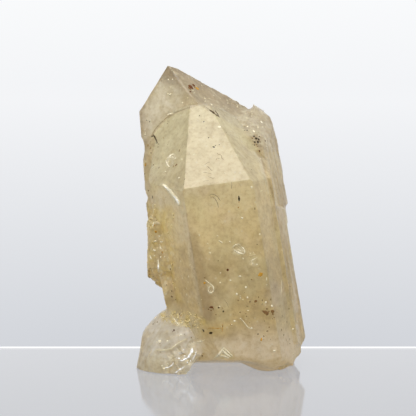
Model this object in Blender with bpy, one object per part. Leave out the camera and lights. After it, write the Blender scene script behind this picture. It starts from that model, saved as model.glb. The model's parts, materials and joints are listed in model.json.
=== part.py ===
"""Quartz crystal specimen: two stout prisms in parallel growth, with thin blades
on one flank, a small side block and two broken feet, all one solid piece.

The prisms share one c axis, which leans to the left. Each crystal is a block cut
down by its faces. A face is (azimuth, slope, distance): azimuth in degrees from
the front (-Y) round towards +X, slope in degrees above the plane across the axis,
distance in millimetres from the origin, in the frame that leans with the axis.
The finished solid stands on +Z, with its lowest faces cut flat at the ground.
"""

import math

import bmesh
import bpy
from mathutils import Matrix, Vector

MM = 0.001

# Placement: puts the middle of the bounding box over the origin.
SHIFT_X = -0.085
SHIFT_Y = -2.111

C_AXIS_LEAN = 9.5  # degrees, top towards -X
PRISM_TURN = 4.0  # degrees that every prism is turned about its axis

# ---- front crystal: three prism faces, three rhombohedral faces -------------
FRONT_PRISM = [
    (PRISM_TURN, 0.0, 17.8),
    (PRISM_TURN - 62.0, 0.0, 11.5),
    (PRISM_TURN + 57.5, 0.0, 23.8),
    (90.0, 0.0, 23.9),
    (PRISM_TURN - 120.0, 0.0, 10.9),
    (PRISM_TURN + 120.0, 0.0, 19.4),
    (PRISM_TURN + 180.0, 0.0, 11.0),
    (96.0, -52.0, 13.3),
]
FRONT_TIP = [
    (5.4, 38.4, 48.8),
    (-51.8, 34.6, 42.2),
    (62.6, 33.6, 50.1),
]
FRONT_RIM_CENTRE = (4.0, 0.0, 62.6)  # rounded end of the front crystal, mm
FRONT_RIM_RADIUS = 16.1
FRONT_RIM_SHOULDER = (6.0, 0.0, 56.0)  # its wider round towards the right flank
FRONT_RIM_SHOULDER_RADIUS = 17.5
FRONT_RIM_BODY = 34.0  # half width of the uncut length below the rounded end

# ---- rear crystal: carries the point ----------------------------------------
REAR_TIP = [
    (-24.7, 16.7, 17.3),
    (54.3, 37.5, 50.6),
    (148.4, 47.0, 74.1),
    (-94.5, 41.3, 62.4),
    (82.0, 63.6, 81.3),
]
REAR_PRISM = [
    (-85.4, 6.0, 19.4),
    (-90.0, -3.0, 12.2),
    (PRISM_TURN - 120.0, 0.0, 17.2),
    (PRISM_TURN + 180.0, 0.0, 20.0),
    (PRISM_TURN + 120.0, 0.0, 28.6),
    (90.0, 0.0, 24.6),
    (96.0, -50.0, 13.8),
    (PRISM_TURN + 60.0, 0.0, 21.5),
    (PRISM_TURN, 0.0, 5.0),
]

# ---- lower crystal grown on the back ------------------------------------------
BACK_GROWTH = [
    (PRISM_TURN + 180.0, 0.0, 21.4),
    (PRISM_TURN + 125.0, 0.0, 22.6),
    (PRISM_TURN - 126.0, 0.0, 17.6),
    (PRISM_TURN + 180.0, 40.0, 49.0),
    (PRISM_TURN + 126.0, 36.0, 47.5),
    (PRISM_TURN - 124.0, 35.0, 43.0),
    (0.0, 0.0, -6.0),
    (-90.0, 0.0, 10.6),
    (96.0, -50.0, 13.4),
]

# ---- blades along the right flank -------------------------------------------
BLADE_SHOULDER = [
    (78.0, 45.0, 67.3),
    (85.0, 8.0, 35.9),
    (85.0, 0.0, 27.1),
    (-80.0, 42.0, 31.9),
    (54.3, 37.5, 53.9),
    (PRISM_TURN, 6.0, 6.5),
    (PRISM_TURN + 62.0, 2.0, 23.1),
    (PRISM_TURN + 120.0, 0.0, 32.0),
    (PRISM_TURN + 180.0, 0.0, 17.0),
    (-90.0, 0.0, -12.0),
    (90.0, -50.0, -12.0),
]
BLADE_LOWER = [
    (87.0, 0.0, 26.6),
    (80.0, 52.0, 50.4),
    (PRISM_TURN + 56.0, 0.0, 21.8),
    (PRISM_TURN, 0.0, 8.0),
    (PRISM_TURN + 122.0, 0.0, 24.6),
    (180.0, 0.0, 9.0),
    (-90.0, 0.0, -12.0),
    (95.0, -52.0, 13.6),
]
BLADE_FRONT = [
    (88.0, 0.0, 24.3),
    (PRISM_TURN + 30.0, 0.0, 19.6),
    (PRISM_TURN + 56.0, 38.0, 52.5),
    (180.0, 0.0, 6.0),
    (-90.0, 0.0, -17.0),
    (60.0, -45.0, 14.0),
]

# ---- side block on the left (upright frame) ---------------------------------
SIDE_BLOCK = [
    (-90.0, -0.6, 22.0),
    (-90.0, 32.0, 42.4),
    (-12.0, 3.0, 10.5),
    (-62.0, 2.0, 22.2),
    (-84.0, -52.0, -7.6),
    (-20.0, -40.0, -10.6),
    (180.0, 0.0, 9.0),
    (90.0, 0.0, -8.0),
    (-10.0, 48.0, 37.5),
]

# ---- broken feet (upright frame), mm ----------------------------------------
LEFT_FOOT_CENTRE = (-10.0, 0.0, 1.0)
LEFT_FOOT_RADII = (16.3, 14.6, 18.0)
LEFT_FOOT_FACES = [
    (80.0, 66.0, 10.2),
    (-90.0, 49.0, 24.4),
    (-90.0, 10.0, 25.3),
    (-90.0, 30.0, 26.4),
    (90.0, -37.0, -8.3),
    (-150.0, 8.0, 20.0),
]
RIGHT_FOOT_CENTRE = (13.5, -5.0, 11.6)  # the prism's own corner, worn round below
RIGHT_FOOT_RADII = (12.8, 15.5, 11.9)
RIGHT_FOOT_FACES = [
    (PRISM_TURN, 0.0, 17.7),
    (PRISM_TURN + 57.5, 0.0, 23.7),
    (87.0, 0.0, 26.4),
    (180.0, 0.0, 14.0),
]

# ---- breaks: ellipsoids taken off, centre and radii in mm -------------------
UNDERSIDE_EDGE = (2.0, -17.8, 4.7)  # highest point of the front lower edge
UNDERSIDE_RADII = (50.0, 12.0)
UNDERSIDE_FALL = 11.8  # degrees that the underside drops towards the back
LOW_LEFT_BREAK = ((-14.0, -28.0, 4.0), (16.0, 19.0, 14.5))
EDGE_CHIPS = [
    ((-29.1, 9.0, 65.0), (5.6, 16.0, 6.5)),
    ((-28.0, 6.0, 50.4), (5.6, 14.0, 3.6)),
    ((24.2, -1.0, 48.8), (4.8, 5.0, 1.7)),
    ((28.4, -3.0, 5.6), (4.6, 6.0, 3.6)),
    ((-22.5, -6.0, 24.0), (4.0, 5.0, 2.6)),
]
BACK_BREAKS = [
    ((-20.0, 30.0, 10.0), (17.0, 17.0, 22.0)),
    ((22.0, 29.0, 54.0), (15.0, 15.0, 16.0)),
]

ELLIPSOID_SEGMENTS = 40
ELLIPSOID_RINGS = 24
BLOCK = 260.0  # side of the block that a crystal is cut from, mm
GROUND_DEPTH = 150.0


def clear_scene():
    for obj in list(bpy.data.objects):
        bpy.data.objects.remove(obj, do_unlink=True)


def new_collection(name):
    collection = bpy.data.collections.new(name)
    bpy.context.scene.collection.children.link(collection)
    return collection


def face_normal(azimuth, slope):
    a, s = math.radians(azimuth), math.radians(slope)
    return Vector((math.sin(a) * math.cos(s), -math.cos(a) * math.cos(s), math.sin(s)))


def object_from(bm, name, collection, matrix=None):
    """The mesh, scaled from millimetres to metres, as an object."""
    if matrix is not None:
        bm.transform(matrix)
    bm.transform(Matrix.Scale(MM, 4))
    bmesh.ops.recalc_face_normals(bm, faces=bm.faces)
    mesh = bpy.data.meshes.new(name)
    bm.to_mesh(mesh)
    bm.free()
    obj = bpy.data.objects.new(name, mesh)
    collection.objects.link(obj)
    return obj


def cut_by_faces(bm, faces):
    """Takes off whatever lies outside each face and closes the cut."""
    for azimuth, slope, distance in faces:
        normal = face_normal(azimuth, slope)
        cut = bmesh.ops.bisect_plane(
            bm,
            geom=bm.verts[:] + bm.edges[:] + bm.faces[:],
            dist=1e-5,
            plane_co=normal * distance,
            plane_no=normal,
            clear_outer=True,
        )
        edges = [e for e in cut["geom_cut"] if isinstance(e, bmesh.types.BMEdge)]
        if edges:
            bmesh.ops.contextual_create(bm, geom=edges)


def crystal(name, faces, collection, lean):
    bm = bmesh.new()
    bmesh.ops.create_cube(bm, size=BLOCK)
    cut_by_faces(bm, faces)
    turn = Matrix.Rotation(math.radians(-lean), 4, "Y")
    return object_from(bm, name, collection, turn)


def ellipsoid(name, centre, radii, collection, faces=()):
    bm = bmesh.new()
    bmesh.ops.create_uvsphere(
        bm, u_segments=ELLIPSOID_SEGMENTS, v_segments=ELLIPSOID_RINGS, radius=1.0
    )
    bm.transform(Matrix.Diagonal((*radii, 1.0)))
    bm.transform(Matrix.Translation(centre))
    if faces:
        cut_by_faces(bm, faces)
    return object_from(bm, name, collection)


def right_foot(collection):
    """The low right corner of the front crystal, rounded off below."""
    foot = crystal("right_foot", RIGHT_FOOT_FACES, collection, C_AXIS_LEAN)
    round_off = ellipsoid(
        "right_foot_round", RIGHT_FOOT_CENTRE, RIGHT_FOOT_RADII, collection
    )
    combine(foot, round_off, "INTERSECT")
    return foot


def underside_drum(collection):
    """A wide drum lying front to back, whose top takes the underside off."""
    bm = bmesh.new()
    bmesh.ops.create_cone(
        bm,
        cap_ends=True,
        segments=96,
        radius1=1.0,
        radius2=1.0,
        depth=1.0,
        matrix=Matrix.Rotation(math.radians(90), 4, "X"),
    )
    wide, deep = UNDERSIDE_RADII
    bm.transform(Matrix.Diagonal((wide, 120.0, deep, 1.0)))
    bm.transform(Matrix.Translation((0.0, 0.0, -deep)))
    bm.transform(Matrix.Rotation(math.radians(-UNDERSIDE_FALL), 4, "X"))
    bm.transform(Matrix.Translation(UNDERSIDE_EDGE))
    return object_from(bm, "underside_drum", collection)


def rim_drum(name, centre, radius, collection):
    bm = bmesh.new()
    bmesh.ops.create_cone(
        bm,
        cap_ends=True,
        segments=56,
        radius1=radius,
        radius2=radius * 1.06,
        depth=90.0,
        matrix=Matrix.Translation(centre) @ Matrix.Rotation(math.radians(90), 4, "X"),
    )
    return object_from(
        bm, name, collection, Matrix.Rotation(math.radians(-C_AXIS_LEAN), 4, "Y")
    )


def rim_cutter(collection):
    """A round-ended slab through the front crystal: two drums over a wide block."""
    drum = rim_drum("rim_drum", FRONT_RIM_CENTRE, FRONT_RIM_RADIUS, collection)
    wide = rim_drum(
        "rim_shoulder", FRONT_RIM_SHOULDER, FRONT_RIM_SHOULDER_RADIUS, collection
    )
    bm = bmesh.new()
    centre = Vector(FRONT_RIM_CENTRE)
    low = Matrix.Translation(
        (centre.x + 6.0, 0.0, centre.z - 60.0 - FRONT_RIM_RADIUS * 0.35)
    ) @ Matrix.Diagonal((FRONT_RIM_BODY * 2, 88.0, 120.0, 1.0))
    bmesh.ops.create_cube(bm, size=1.0, matrix=low)
    body = object_from(
        bm, "rim_body", collection, Matrix.Rotation(math.radians(-C_AXIS_LEAN), 4, "Y")
    )
    combine(drum, wide, "UNION")
    combine(drum, body, "UNION")
    return drum


def combine(target, other, operation):
    modifier = target.modifiers.new(operation.lower() + "_" + other.name, "BOOLEAN")
    modifier.operation = operation
    modifier.solver = "EXACT"
    modifier.object = other
    return modifier


def ground_cutter(collection):
    bm = bmesh.new()
    bmesh.ops.create_cube(
        bm,
        size=1.0,
        matrix=Matrix.Translation((0, 0, -GROUND_DEPTH / 2))
        @ Matrix.Diagonal((200.0, 200.0, GROUND_DEPTH, 1.0)),
    )
    return object_from(bm, "ground_cutter", collection)


def quartz_material():
    material = bpy.data.materials.new("quartz")
    material.use_nodes = True
    shader = material.node_tree.nodes["Principled BSDF"]
    shader.inputs["Base Color"].default_value = (0.72, 0.62, 0.42, 1.0)
    shader.inputs["Roughness"].default_value = 0.12
    shader.inputs["Metallic"].default_value = 0.0
    shader.inputs["IOR"].default_value = 1.544
    shader.inputs["Transmission Weight"].default_value = 0.9
    return material


def main():
    clear_scene()
    parts = new_collection("quartz_crystal_specimen")
    helpers = new_collection("cutters")

    body = crystal("quartz_crystal", FRONT_PRISM + FRONT_TIP, parts, C_AXIS_LEAN)
    combine(body, rim_cutter(helpers), "INTERSECT")
    combine(
        body,
        ellipsoid("low_left_break", *LOW_LEFT_BREAK, helpers),
        "DIFFERENCE",
    )
    joined = [
        crystal("rear_crystal", REAR_TIP + REAR_PRISM, helpers, C_AXIS_LEAN),
        crystal("back_growth", BACK_GROWTH, helpers, C_AXIS_LEAN),
        crystal("shoulder_blade", BLADE_SHOULDER, helpers, C_AXIS_LEAN),
        crystal("lower_blade", BLADE_LOWER, helpers, C_AXIS_LEAN),
        crystal("front_blade", BLADE_FRONT, helpers, C_AXIS_LEAN),
        crystal("side_block", SIDE_BLOCK, helpers, 0.0),
    ]
    for other in joined:
        combine(body, other, "UNION")
    for i, (centre, radii) in enumerate(BACK_BREAKS):
        combine(
            body, ellipsoid(f"back_break_{i + 1}", centre, radii, helpers), "DIFFERENCE"
        )
    combine(body, underside_drum(helpers), "DIFFERENCE")
    combine(
        body,
        ellipsoid(
            "left_foot", LEFT_FOOT_CENTRE, LEFT_FOOT_RADII, helpers, LEFT_FOOT_FACES
        ),
        "UNION",
    )
    combine(
        body,
        right_foot(helpers),
        "UNION",
    )
    for i, (centre, radii) in enumerate(EDGE_CHIPS):
        combine(
            body, ellipsoid(f"edge_chip_{i + 1}", centre, radii, helpers), "DIFFERENCE"
        )
    combine(body, ground_cutter(helpers), "DIFFERENCE")

    body.data.materials.append(quartz_material())
    for helper in helpers.objects:
        helper.hide_render = True
        helper.display_type = "WIRE"
    stand = bpy.data.objects.new("specimen", None)
    parts.objects.link(stand)
    for obj in [body, *helpers.objects]:
        obj.parent = stand
    stand.location = (SHIFT_X * MM, SHIFT_Y * MM, 0.0)


main()
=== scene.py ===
import json
import math

import bmesh
import bpy
import numpy as np
from mathutils import Euler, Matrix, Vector
from mathutils.bvhtree import BVHTree

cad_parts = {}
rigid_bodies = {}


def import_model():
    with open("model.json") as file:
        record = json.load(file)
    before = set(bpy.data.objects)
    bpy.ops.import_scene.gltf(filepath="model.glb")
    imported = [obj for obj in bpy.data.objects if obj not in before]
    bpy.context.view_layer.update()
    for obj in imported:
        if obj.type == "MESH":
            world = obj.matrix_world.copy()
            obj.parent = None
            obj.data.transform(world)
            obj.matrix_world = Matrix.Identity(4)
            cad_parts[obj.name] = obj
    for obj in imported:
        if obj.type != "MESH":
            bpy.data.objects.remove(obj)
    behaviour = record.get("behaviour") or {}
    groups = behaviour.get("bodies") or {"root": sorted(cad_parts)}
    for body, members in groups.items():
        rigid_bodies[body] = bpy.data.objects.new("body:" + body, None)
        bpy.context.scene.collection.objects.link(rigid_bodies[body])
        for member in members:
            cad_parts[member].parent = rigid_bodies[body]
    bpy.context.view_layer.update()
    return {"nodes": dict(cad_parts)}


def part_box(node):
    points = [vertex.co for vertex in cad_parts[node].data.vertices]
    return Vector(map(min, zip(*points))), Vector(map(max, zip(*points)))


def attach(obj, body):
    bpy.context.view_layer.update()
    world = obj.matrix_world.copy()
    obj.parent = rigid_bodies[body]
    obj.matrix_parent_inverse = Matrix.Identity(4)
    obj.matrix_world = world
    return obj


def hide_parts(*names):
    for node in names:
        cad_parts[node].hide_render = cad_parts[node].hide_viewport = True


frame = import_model()
scene = bpy.context.scene
MM = 0.001
LOW, HIGH = (np.array(v) * 1000 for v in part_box("quartz_crystal"))

# ---------------------------------------------------------------- camera ----
CAM_POS = Vector((-0.004135, -0.430474, 0.085477))
CAM_ROT = Euler((math.radians(85.0), 0.0, 0.0))
LENS, SENSOR, SIDE = 124.04, 36.0, 416
FOCAL_PX = LENS / SENSOR * SIDE
PX = 0.3  # mm that one pixel of the frame spans at the crystal


def add_camera():
    data = bpy.data.cameras.new("camera")
    data.lens, data.sensor_width, data.sensor_fit = LENS, SENSOR, "HORIZONTAL"
    data.clip_start, data.clip_end = 0.01, 50.0
    cam = bpy.data.objects.new("camera", data)
    cam.location, cam.rotation_euler = CAM_POS, CAM_ROT
    scene.collection.objects.link(cam)
    scene.camera = cam


def sight(px, py):
    """Direction of the line of sight through a point of the 416 x 416 frame."""
    d = Vector(((px - SIDE / 2) / FOCAL_PX, -(py - SIDE / 2) / FOCAL_PX, -1.0))
    return (CAM_ROT.to_matrix() @ d).normalized()


def frame_xy(p):
    """Each point's place in the 416 x 416 frame."""
    m = np.array(CAM_ROT.to_matrix())
    d = (p / 1000.0 - np.array(CAM_POS)) @ m
    return SIDE / 2 + FOCAL_PX * d[:, 0] / -d[:, 2], SIDE / 2 - FOCAL_PX * d[:, 1] / -d[:, 2]


# ----------------------------------------------------------------- noise ----
def lattice(i, j, k, seed):
    h = (i * 374761393 + j * 668265263 + k * 1274126177 + seed * 974711) & 0xFFFFFFFF
    h = ((h ^ (h >> 13)) * 1103515245 + 12345) & 0xFFFFFFFF
    h = ((h ^ (h >> 15)) * 1597334677) & 0xFFFFFFFF
    return ((h ^ (h >> 16)) & 0xFFFF) / 32767.5 - 1.0


def chance(i, seed):
    """A repeatable number from 0 to 1."""
    return lattice(i, seed * 31 + 7, i % 13, seed) * 0.5 + 0.5


def value_noise(p, seed=0):
    """Smooth noise from -1 to 1 at the rows of p, with lattice step 1."""
    base = np.floor(p).astype(np.int64)
    f = p - base
    f = f * f * f * (f * (f * 6 - 15) + 10)
    total = np.zeros(len(p))
    for dx in (0, 1):
        for dy in (0, 1):
            for dz in (0, 1):
                w = (
                    (f[:, 0] if dx else 1 - f[:, 0])
                    * (f[:, 1] if dy else 1 - f[:, 1])
                    * (f[:, 2] if dz else 1 - f[:, 2])
                )
                total += w * lattice(base[:, 0] + dx, base[:, 1] + dy, base[:, 2] + dz, seed)
    return total


def fbm(p, size, octaves=3, seed=0, gain=0.5):
    """Fractal noise, about -1 to 1, with its largest features about size mm across."""
    total, amp, norm, q = np.zeros(len(p)), 1.0, 0.0, p / size
    for o in range(octaves):
        total += amp * value_noise(q + 17.3 * o, seed + o)
        norm += amp
        amp *= gain
        q = q * 2.03
    return total / norm * 1.4


def shards(p, size, seed=0, steep=0.5):
    """Heights in mm of a splintered break: each cell is a flat of its own tilt, with a step where cells meet."""
    q = p / size
    base = np.floor(q).astype(np.int64)
    best = np.full(len(p), 9.0)
    height = np.zeros(len(p))
    for dx in (-1, 0, 1):
        for dy in (-1, 0, 1):
            for dz in (-1, 0, 1):
                c = base + (dx, dy, dz)
                at = c + 0.5 + 0.45 * np.stack(
                    [lattice(c[:, 0], c[:, 1], c[:, 2], seed + s) for s in (1, 2, 3)], 1
                )
                tilt = np.stack([lattice(c[:, 0], c[:, 1], c[:, 2], seed + s) for s in (4, 5, 6)], 1)
                d = np.linalg.norm(q - at, axis=1)
                h = ((q - at) * tilt).sum(1) * steep * size
                closer = d < best
                best = np.where(closer, d, best)
                height = np.where(closer, h, height)
    return height


def smoothstep(a, b, x):
    t = np.clip((x - a) / (b - a), 0, 1)
    return t * t * (3 - 2 * t)


# --------------------------------------------------------------- geometry ----
LEAN = math.radians(9.5)
SHIFT = np.array([-0.085, -2.111, 0.0])


def turned(v):
    c, s = math.cos(LEAN), math.sin(LEAN)
    return np.stack([v[:, 0] * c + v[:, 2] * s, v[:, 1], -v[:, 0] * s + v[:, 2] * c], 1)


def leaning(p):
    """Coordinates along the crystals' own axes: across, back, and along the c axis, in mm."""
    return turned(p - SHIFT)


def points_of(mesh):
    co = np.empty(len(mesh.vertices) * 3, np.float32)
    mesh.vertices.foreach_get("co", co)
    return co.reshape(-1, 3).astype(float) * 1000.0


def put_points(mesh, p):
    mesh.vertices.foreach_set("co", (p / 1000.0).astype(np.float32).ravel())
    mesh.update()


def normals_of(mesh):
    n = np.empty(len(mesh.vertices) * 3, np.float32)
    mesh.vertex_normals.foreach_get("vector", n)
    return n.reshape(-1, 3).astype(float)


def edges_of(mesh):
    e = np.empty(len(mesh.edges) * 2, np.int32)
    mesh.edges.foreach_get("vertices", e)
    return e.reshape(-1, 2)


def neighbour_mean(p, edges):
    n = len(p)
    count = np.bincount(edges.ravel(), minlength=n).astype(float)
    count[count == 0] = 1
    out = np.empty_like(p)
    for k in range(p.shape[1]):
        out[:, k] = (
            np.bincount(edges[:, 0], p[edges[:, 1], k], n) + np.bincount(edges[:, 1], p[edges[:, 0], k], n)
        ) / count
    return out


def relax(p, edges, weight, rounds):
    """Moves each point towards the mean of its neighbours, by its own weight."""
    for _ in range(rounds):
        p = p + (neighbour_mean(p, edges) - p) * weight[:, None]
    return p


def spread(value, edges, rounds):
    """The value at each vertex, blurred over its neighbours."""
    for _ in range(rounds):
        value = 0.4 * value + 0.6 * neighbour_mean(value[:, None], edges)[:, 0]
    return value


def tree_of(mesh):
    bm = bmesh.new()
    bm.from_mesh(mesh)
    tree = BVHTree.FromBMesh(bm)
    bm.free()
    return tree


def even_copy(node, depth=8, scale=0.72):
    """The CAD node's shape with an even mesh of small triangles, its flats flat and its edges kept."""
    mesh = node.data.copy()
    bm = bmesh.new()
    bm.from_mesh(mesh)
    bmesh.ops.remove_doubles(bm, verts=bm.verts, dist=2e-6)
    bm.to_mesh(mesh)
    tree = BVHTree.FromBMesh(bm)
    bm.free()
    tmp = bpy.data.objects.new("tmp", mesh)
    scene.collection.objects.link(tmp)
    mod = tmp.modifiers.new("even", "REMESH")
    mod.mode, mod.octree_depth, mod.scale, mod.sharpness = "SHARP", depth, scale, 1.0
    mod.use_remove_disconnected, mod.threshold = True, 0.5
    graph = bpy.context.evaluated_depsgraph_get()
    even = bpy.data.meshes.new_from_object(tmp.evaluated_get(graph))
    bpy.data.objects.remove(tmp)
    p, e = points_of(even), edges_of(even)

    def snapped(p):
        at, normal = np.empty_like(p), np.empty_like(p)
        for i, row in enumerate(p):
            near, n, _, _ = tree.find_nearest(Vector(row) * MM)
            at[i], normal[i] = np.array(near) * 1000, n
        return at, normal

    p, face = snapped(p)
    agree = np.ones(len(p))
    dot = (face[e[:, 0]] * face[e[:, 1]]).sum(1)
    np.minimum.at(agree, e[:, 0], dot)
    np.minimum.at(agree, e[:, 1], dot)
    ring = agree.copy()
    np.minimum.at(ring, e[:, 0], agree[e[:, 1]])
    np.minimum.at(ring, e[:, 1], agree[e[:, 0]])
    flat = (agree > 0.96).astype(float) * np.where(ring > 0.96, 0.8, 0.35)
    p = relax(p, e, flat, 10)
    p, _ = snapped(p)
    put_points(even, p)
    bm = bmesh.new()
    bm.from_mesh(even)
    bmesh.ops.triangulate(bm, faces=bm.faces, quad_method="BEAUTY")
    bmesh.ops.dissolve_degenerate(bm, dist=2e-5, edges=bm.edges)
    for _ in range(8):  # the few places where the skin meets itself are cut out and filled
        bmesh.ops.delete(bm, geom=[edge for edge in bm.edges if not edge.link_faces], context="EDGES")
        bad = [edge for edge in bm.edges if len(edge.link_faces) != 2]
        if not bad:
            break
        around = {face for edge in bad for v in edge.verts for face in v.link_faces}
        bmesh.ops.delete(bm, geom=list(around), context="FACES")
        bmesh.ops.holes_fill(bm, edges=[edge for edge in bm.edges if len(edge.link_faces) == 1], sides=0)
    bmesh.ops.triangulate(bm, faces=[face for face in bm.faces if len(face.verts) > 3])
    bmesh.ops.recalc_face_normals(bm, faces=bm.faces)
    wrong = sum(1 for edge in bm.edges if len(edge.link_faces) != 2)
    print("even mesh:", len(bm.faces), "triangles,", wrong, "open edges")
    even.clear_geometry()
    bm.to_mesh(even)
    bm.free()
    return even


cad = frame["nodes"]["quartz_crystal"]
mesh = even_copy(cad)
P = points_of(mesh)
E = edges_of(mesh)
N = normals_of(mesh)
flat_tree = tree_of(mesh)
NL, Q = turned(N), leaning(P)
FX, FY = frame_xy(P)
FACING = smoothstep(0.05, -0.15, N[:, 1])


def seen(px, py):
    """Where the line of sight meets the crystal before it is worn: (point in mm, outward normal)."""
    at, normal, _, _ = flat_tree.ray_cast(CAM_POS, sight(px, py))
    return (np.array(at) * 1000.0, np.array(normal)) if at is not None else (None, None)


def on_face(azimuth, slope, distance, slack=0.35):
    """1 on the crystal face with this direction and distance in the leaning frame, else 0."""
    a, s = math.radians(azimuth), math.radians(slope)
    n = np.array([math.sin(a) * math.cos(s), -math.cos(a) * math.cos(s), math.sin(s)])
    near = 1 - smoothstep(slack, slack * 2, np.abs(Q @ n - distance))
    return near * smoothstep(0.90, 0.97, NL @ n)


def near_line(points, half, fade=1.2, ends=(1.0, 1.0)):
    """1 within half px of a line drawn in the frame, on the side that faces it, fading out over fade px."""
    best, along = np.full(len(P), 1e9), np.zeros(len(P))
    pts = np.array(points, float)
    steps = np.linalg.norm(np.diff(pts, axis=0), axis=1)
    total, done = steps.sum(), 0.0
    for (x0, y0), (x1, y1), step in zip(pts[:-1], pts[1:], steps):
        t = np.clip(((FX - x0) * (x1 - x0) + (FY - y0) * (y1 - y0)) / step**2, 0, 1)
        d = np.hypot(FX - x0 - t * (x1 - x0), FY - y0 - t * (y1 - y0))
        along = np.where(d < best, (done + t * step) / total, along)
        best = np.minimum(best, d)
        done += step
    strength = ends[0] + (ends[1] - ends[0]) * along
    return (1 - smoothstep(half, half + fade, best)) * strength * FACING


def within(points, fade=2.0):
    """1 inside an outline drawn in the frame, on the side that faces it, soft over fade px."""
    pts = np.array(points, float)
    inside = np.zeros(len(P), bool)
    best = np.full(len(P), 1e9)
    for (x0, y0), (x1, y1) in zip(pts, np.roll(pts, -1, axis=0)):
        if y0 != y1:
            crosses = ((y0 > FY) != (y1 > FY)) & (FX < (x1 - x0) * (FY - y0) / (y1 - y0) + x0)
            inside ^= crosses
        t = np.clip(((FX - x0) * (x1 - x0) + (FY - y0) * (y1 - y0)) / ((x1 - x0) ** 2 + (y1 - y0) ** 2), 0, 1)
        best = np.minimum(best, np.hypot(FX - x0 - t * (x1 - x0), FY - y0 - t * (y1 - y0)))
    signed = np.where(inside, best, -best)
    return smoothstep(-fade / 2, fade / 2, signed) * FACING


def scoop(p, centre, normal, wide, deep, stretch=1.0, angle=0.0, seed=0):
    """A shell-shaped flake out of the surface: points inside a large ball go to its skin."""
    radius = (wide * wide + deep * deep) / (2 * deep)
    n = normal / np.linalg.norm(normal)
    side = np.cross(n, (0.0, 0.0, 1.0))
    side /= np.linalg.norm(side)
    up = np.cross(side, n)
    u = side * math.cos(angle) + up * math.sin(angle)
    v = -side * math.sin(angle) + up * math.cos(angle)
    d = p - centre
    a, b, h = d @ u / stretch, d @ v * stretch, d @ n
    wob = 1 + 0.18 * fbm(p, wide * 1.1, 2, seed)
    a, b = a * wob, b * wob
    bowl = (radius - deep) - np.sqrt(np.clip(radius**2 - a * a - b * b, 0, None))
    inside = (a * a + b * b < wide * wide) & (h > bowl) & (h < deep * 2.5)
    ripple = 0.06 * deep * np.cos(np.sqrt((a + wide) ** 2 + b * b) * 10.0 / wide)
    move = np.where(inside, bowl + ripple - h, 0.0)
    return p + move[:, None] * n, inside


# where the parts of the cluster show in the frame
RIM = [(151.7, 136), (155.5, 129), (161.9, 122), (168.3, 116.3), (174.6, 112.9), (181, 110.4), (187.4, 108.2), (193.8, 105.6), (198.9, 104.2), (203.5, 106), (208.4, 109.3)]
STREAK_HIGHLIGHT = [(162, 184), (165.7, 187.2), (169.5, 191), (173.4, 195.5), (178.5, 201.5), (181.5, 207)]
LEFT_EDGE = [(182.5, 207), (185, 216), (188.5, 238), (193, 261), (198, 287), (203, 315)]
RIGHT_SEAM = [(256.8, 152.5), (261.2, 157.6), (263.8, 165.3), (265.2, 172.3), (268.2, 179.5), (271.5, 192), (275.3, 205.5), (281.6, 227), (283.6, 244), (288, 266), (291, 300)]
LEDGE = [(146, 354), (155.7, 350.8), (165.8, 350.5), (171.6, 349), (176, 345.4), (179.9, 342.6), (185.6, 339.7), (195, 335), (205, 330)]

frost = np.zeros(len(P))
stain = np.zeros(len(P))
rise = np.zeros(len(P))  # how far each vertex moves out along its normal, mm

# growth faces are never quite flat
rise += -0.05 + 0.05 * fbm(P, 9.0, 3, 11) + 0.012 * fbm(P, 1.6, 2, 12)
# right flank: thin blades side by side, so its face is ribbed along the c axis
flank = smoothstep(0.45, 0.75, NL[:, 0]) * smoothstep(23.4, 24.2, Q[:, 0])
ribs = fbm(np.stack([Q[:, 1] / 1.0 + 31, Q[:, 0] / 1.3, Q[:, 2] / 16.0], 1), 1.0, 3, 21)
rise += flank * (-0.15 + 0.15 * ribs + 0.05 * fbm(P, 2.4, 2, 22))
near_flank = smoothstep(0.6, 0.85, NL[:, 0]) * smoothstep(19.0, 21.0, Q[:, 0]) * (1 - flank)
rise += near_flank * 0.06 * fbm(np.stack([Q[:, 1] / 0.9, Q[:, 0] / 0.9, Q[:, 2] / 14.0], 1), 1.0, 2, 23)
# rear crystal: pitted, and lumpy towards the shoulder
rear = smoothstep(-2.0, 2.0, Q[:, 1]) * smoothstep(58.0, 64.0, Q[:, 2])
rise += rear * 0.07 * fbm(P, 3.2, 3, 31)
shoulder = smoothstep(12.0, 17.0, Q[:, 0]) * smoothstep(56.0, 61.0, Q[:, 2]) * smoothstep(-7.0, -2.0, Q[:, 1])
rise += shoulder * (-0.20 + 0.26 * fbm(P, 2.2, 3, 33))
# side block: broken and corroded
block = smoothstep(-12.5, -15.5, P[:, 0]) * smoothstep(23.0, 26.5, P[:, 2]) * smoothstep(50.5, 47.0, P[:, 2]) * smoothstep(6.0, 2.0, P[:, 1])
inner = smoothstep(-0.35, -0.75, N[:, 1])  # its front is flaked, its outer side is nearly smooth
rise += block * (0.35 + 0.65 * inner) * (-0.12 + 0.10 * fbm(P, 2.6, 3, 41) + shards(P, 1.9, 42, 0.17) + shards(P, 0.9, 47, 0.10))
# the left edge of the rear crystal is nicked all the way up
left_edge = smoothstep(-0.25, -0.7, NL[:, 0]) * smoothstep(30.0, 40.0, P[:, 2]) * smoothstep(74.0, 70.0, P[:, 2])
rise += left_edge * (-0.09 + 0.13 * fbm(P, 2.4, 3, 45))
# between the block and the foot, and the foot itself: old breaks
below = smoothstep(27.0, 24.0, P[:, 2]) * smoothstep(-5.0, -9.0, P[:, 0])
rise += below * (-0.15 + 0.16 * fbm(P, 4.0, 3, 51))
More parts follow.
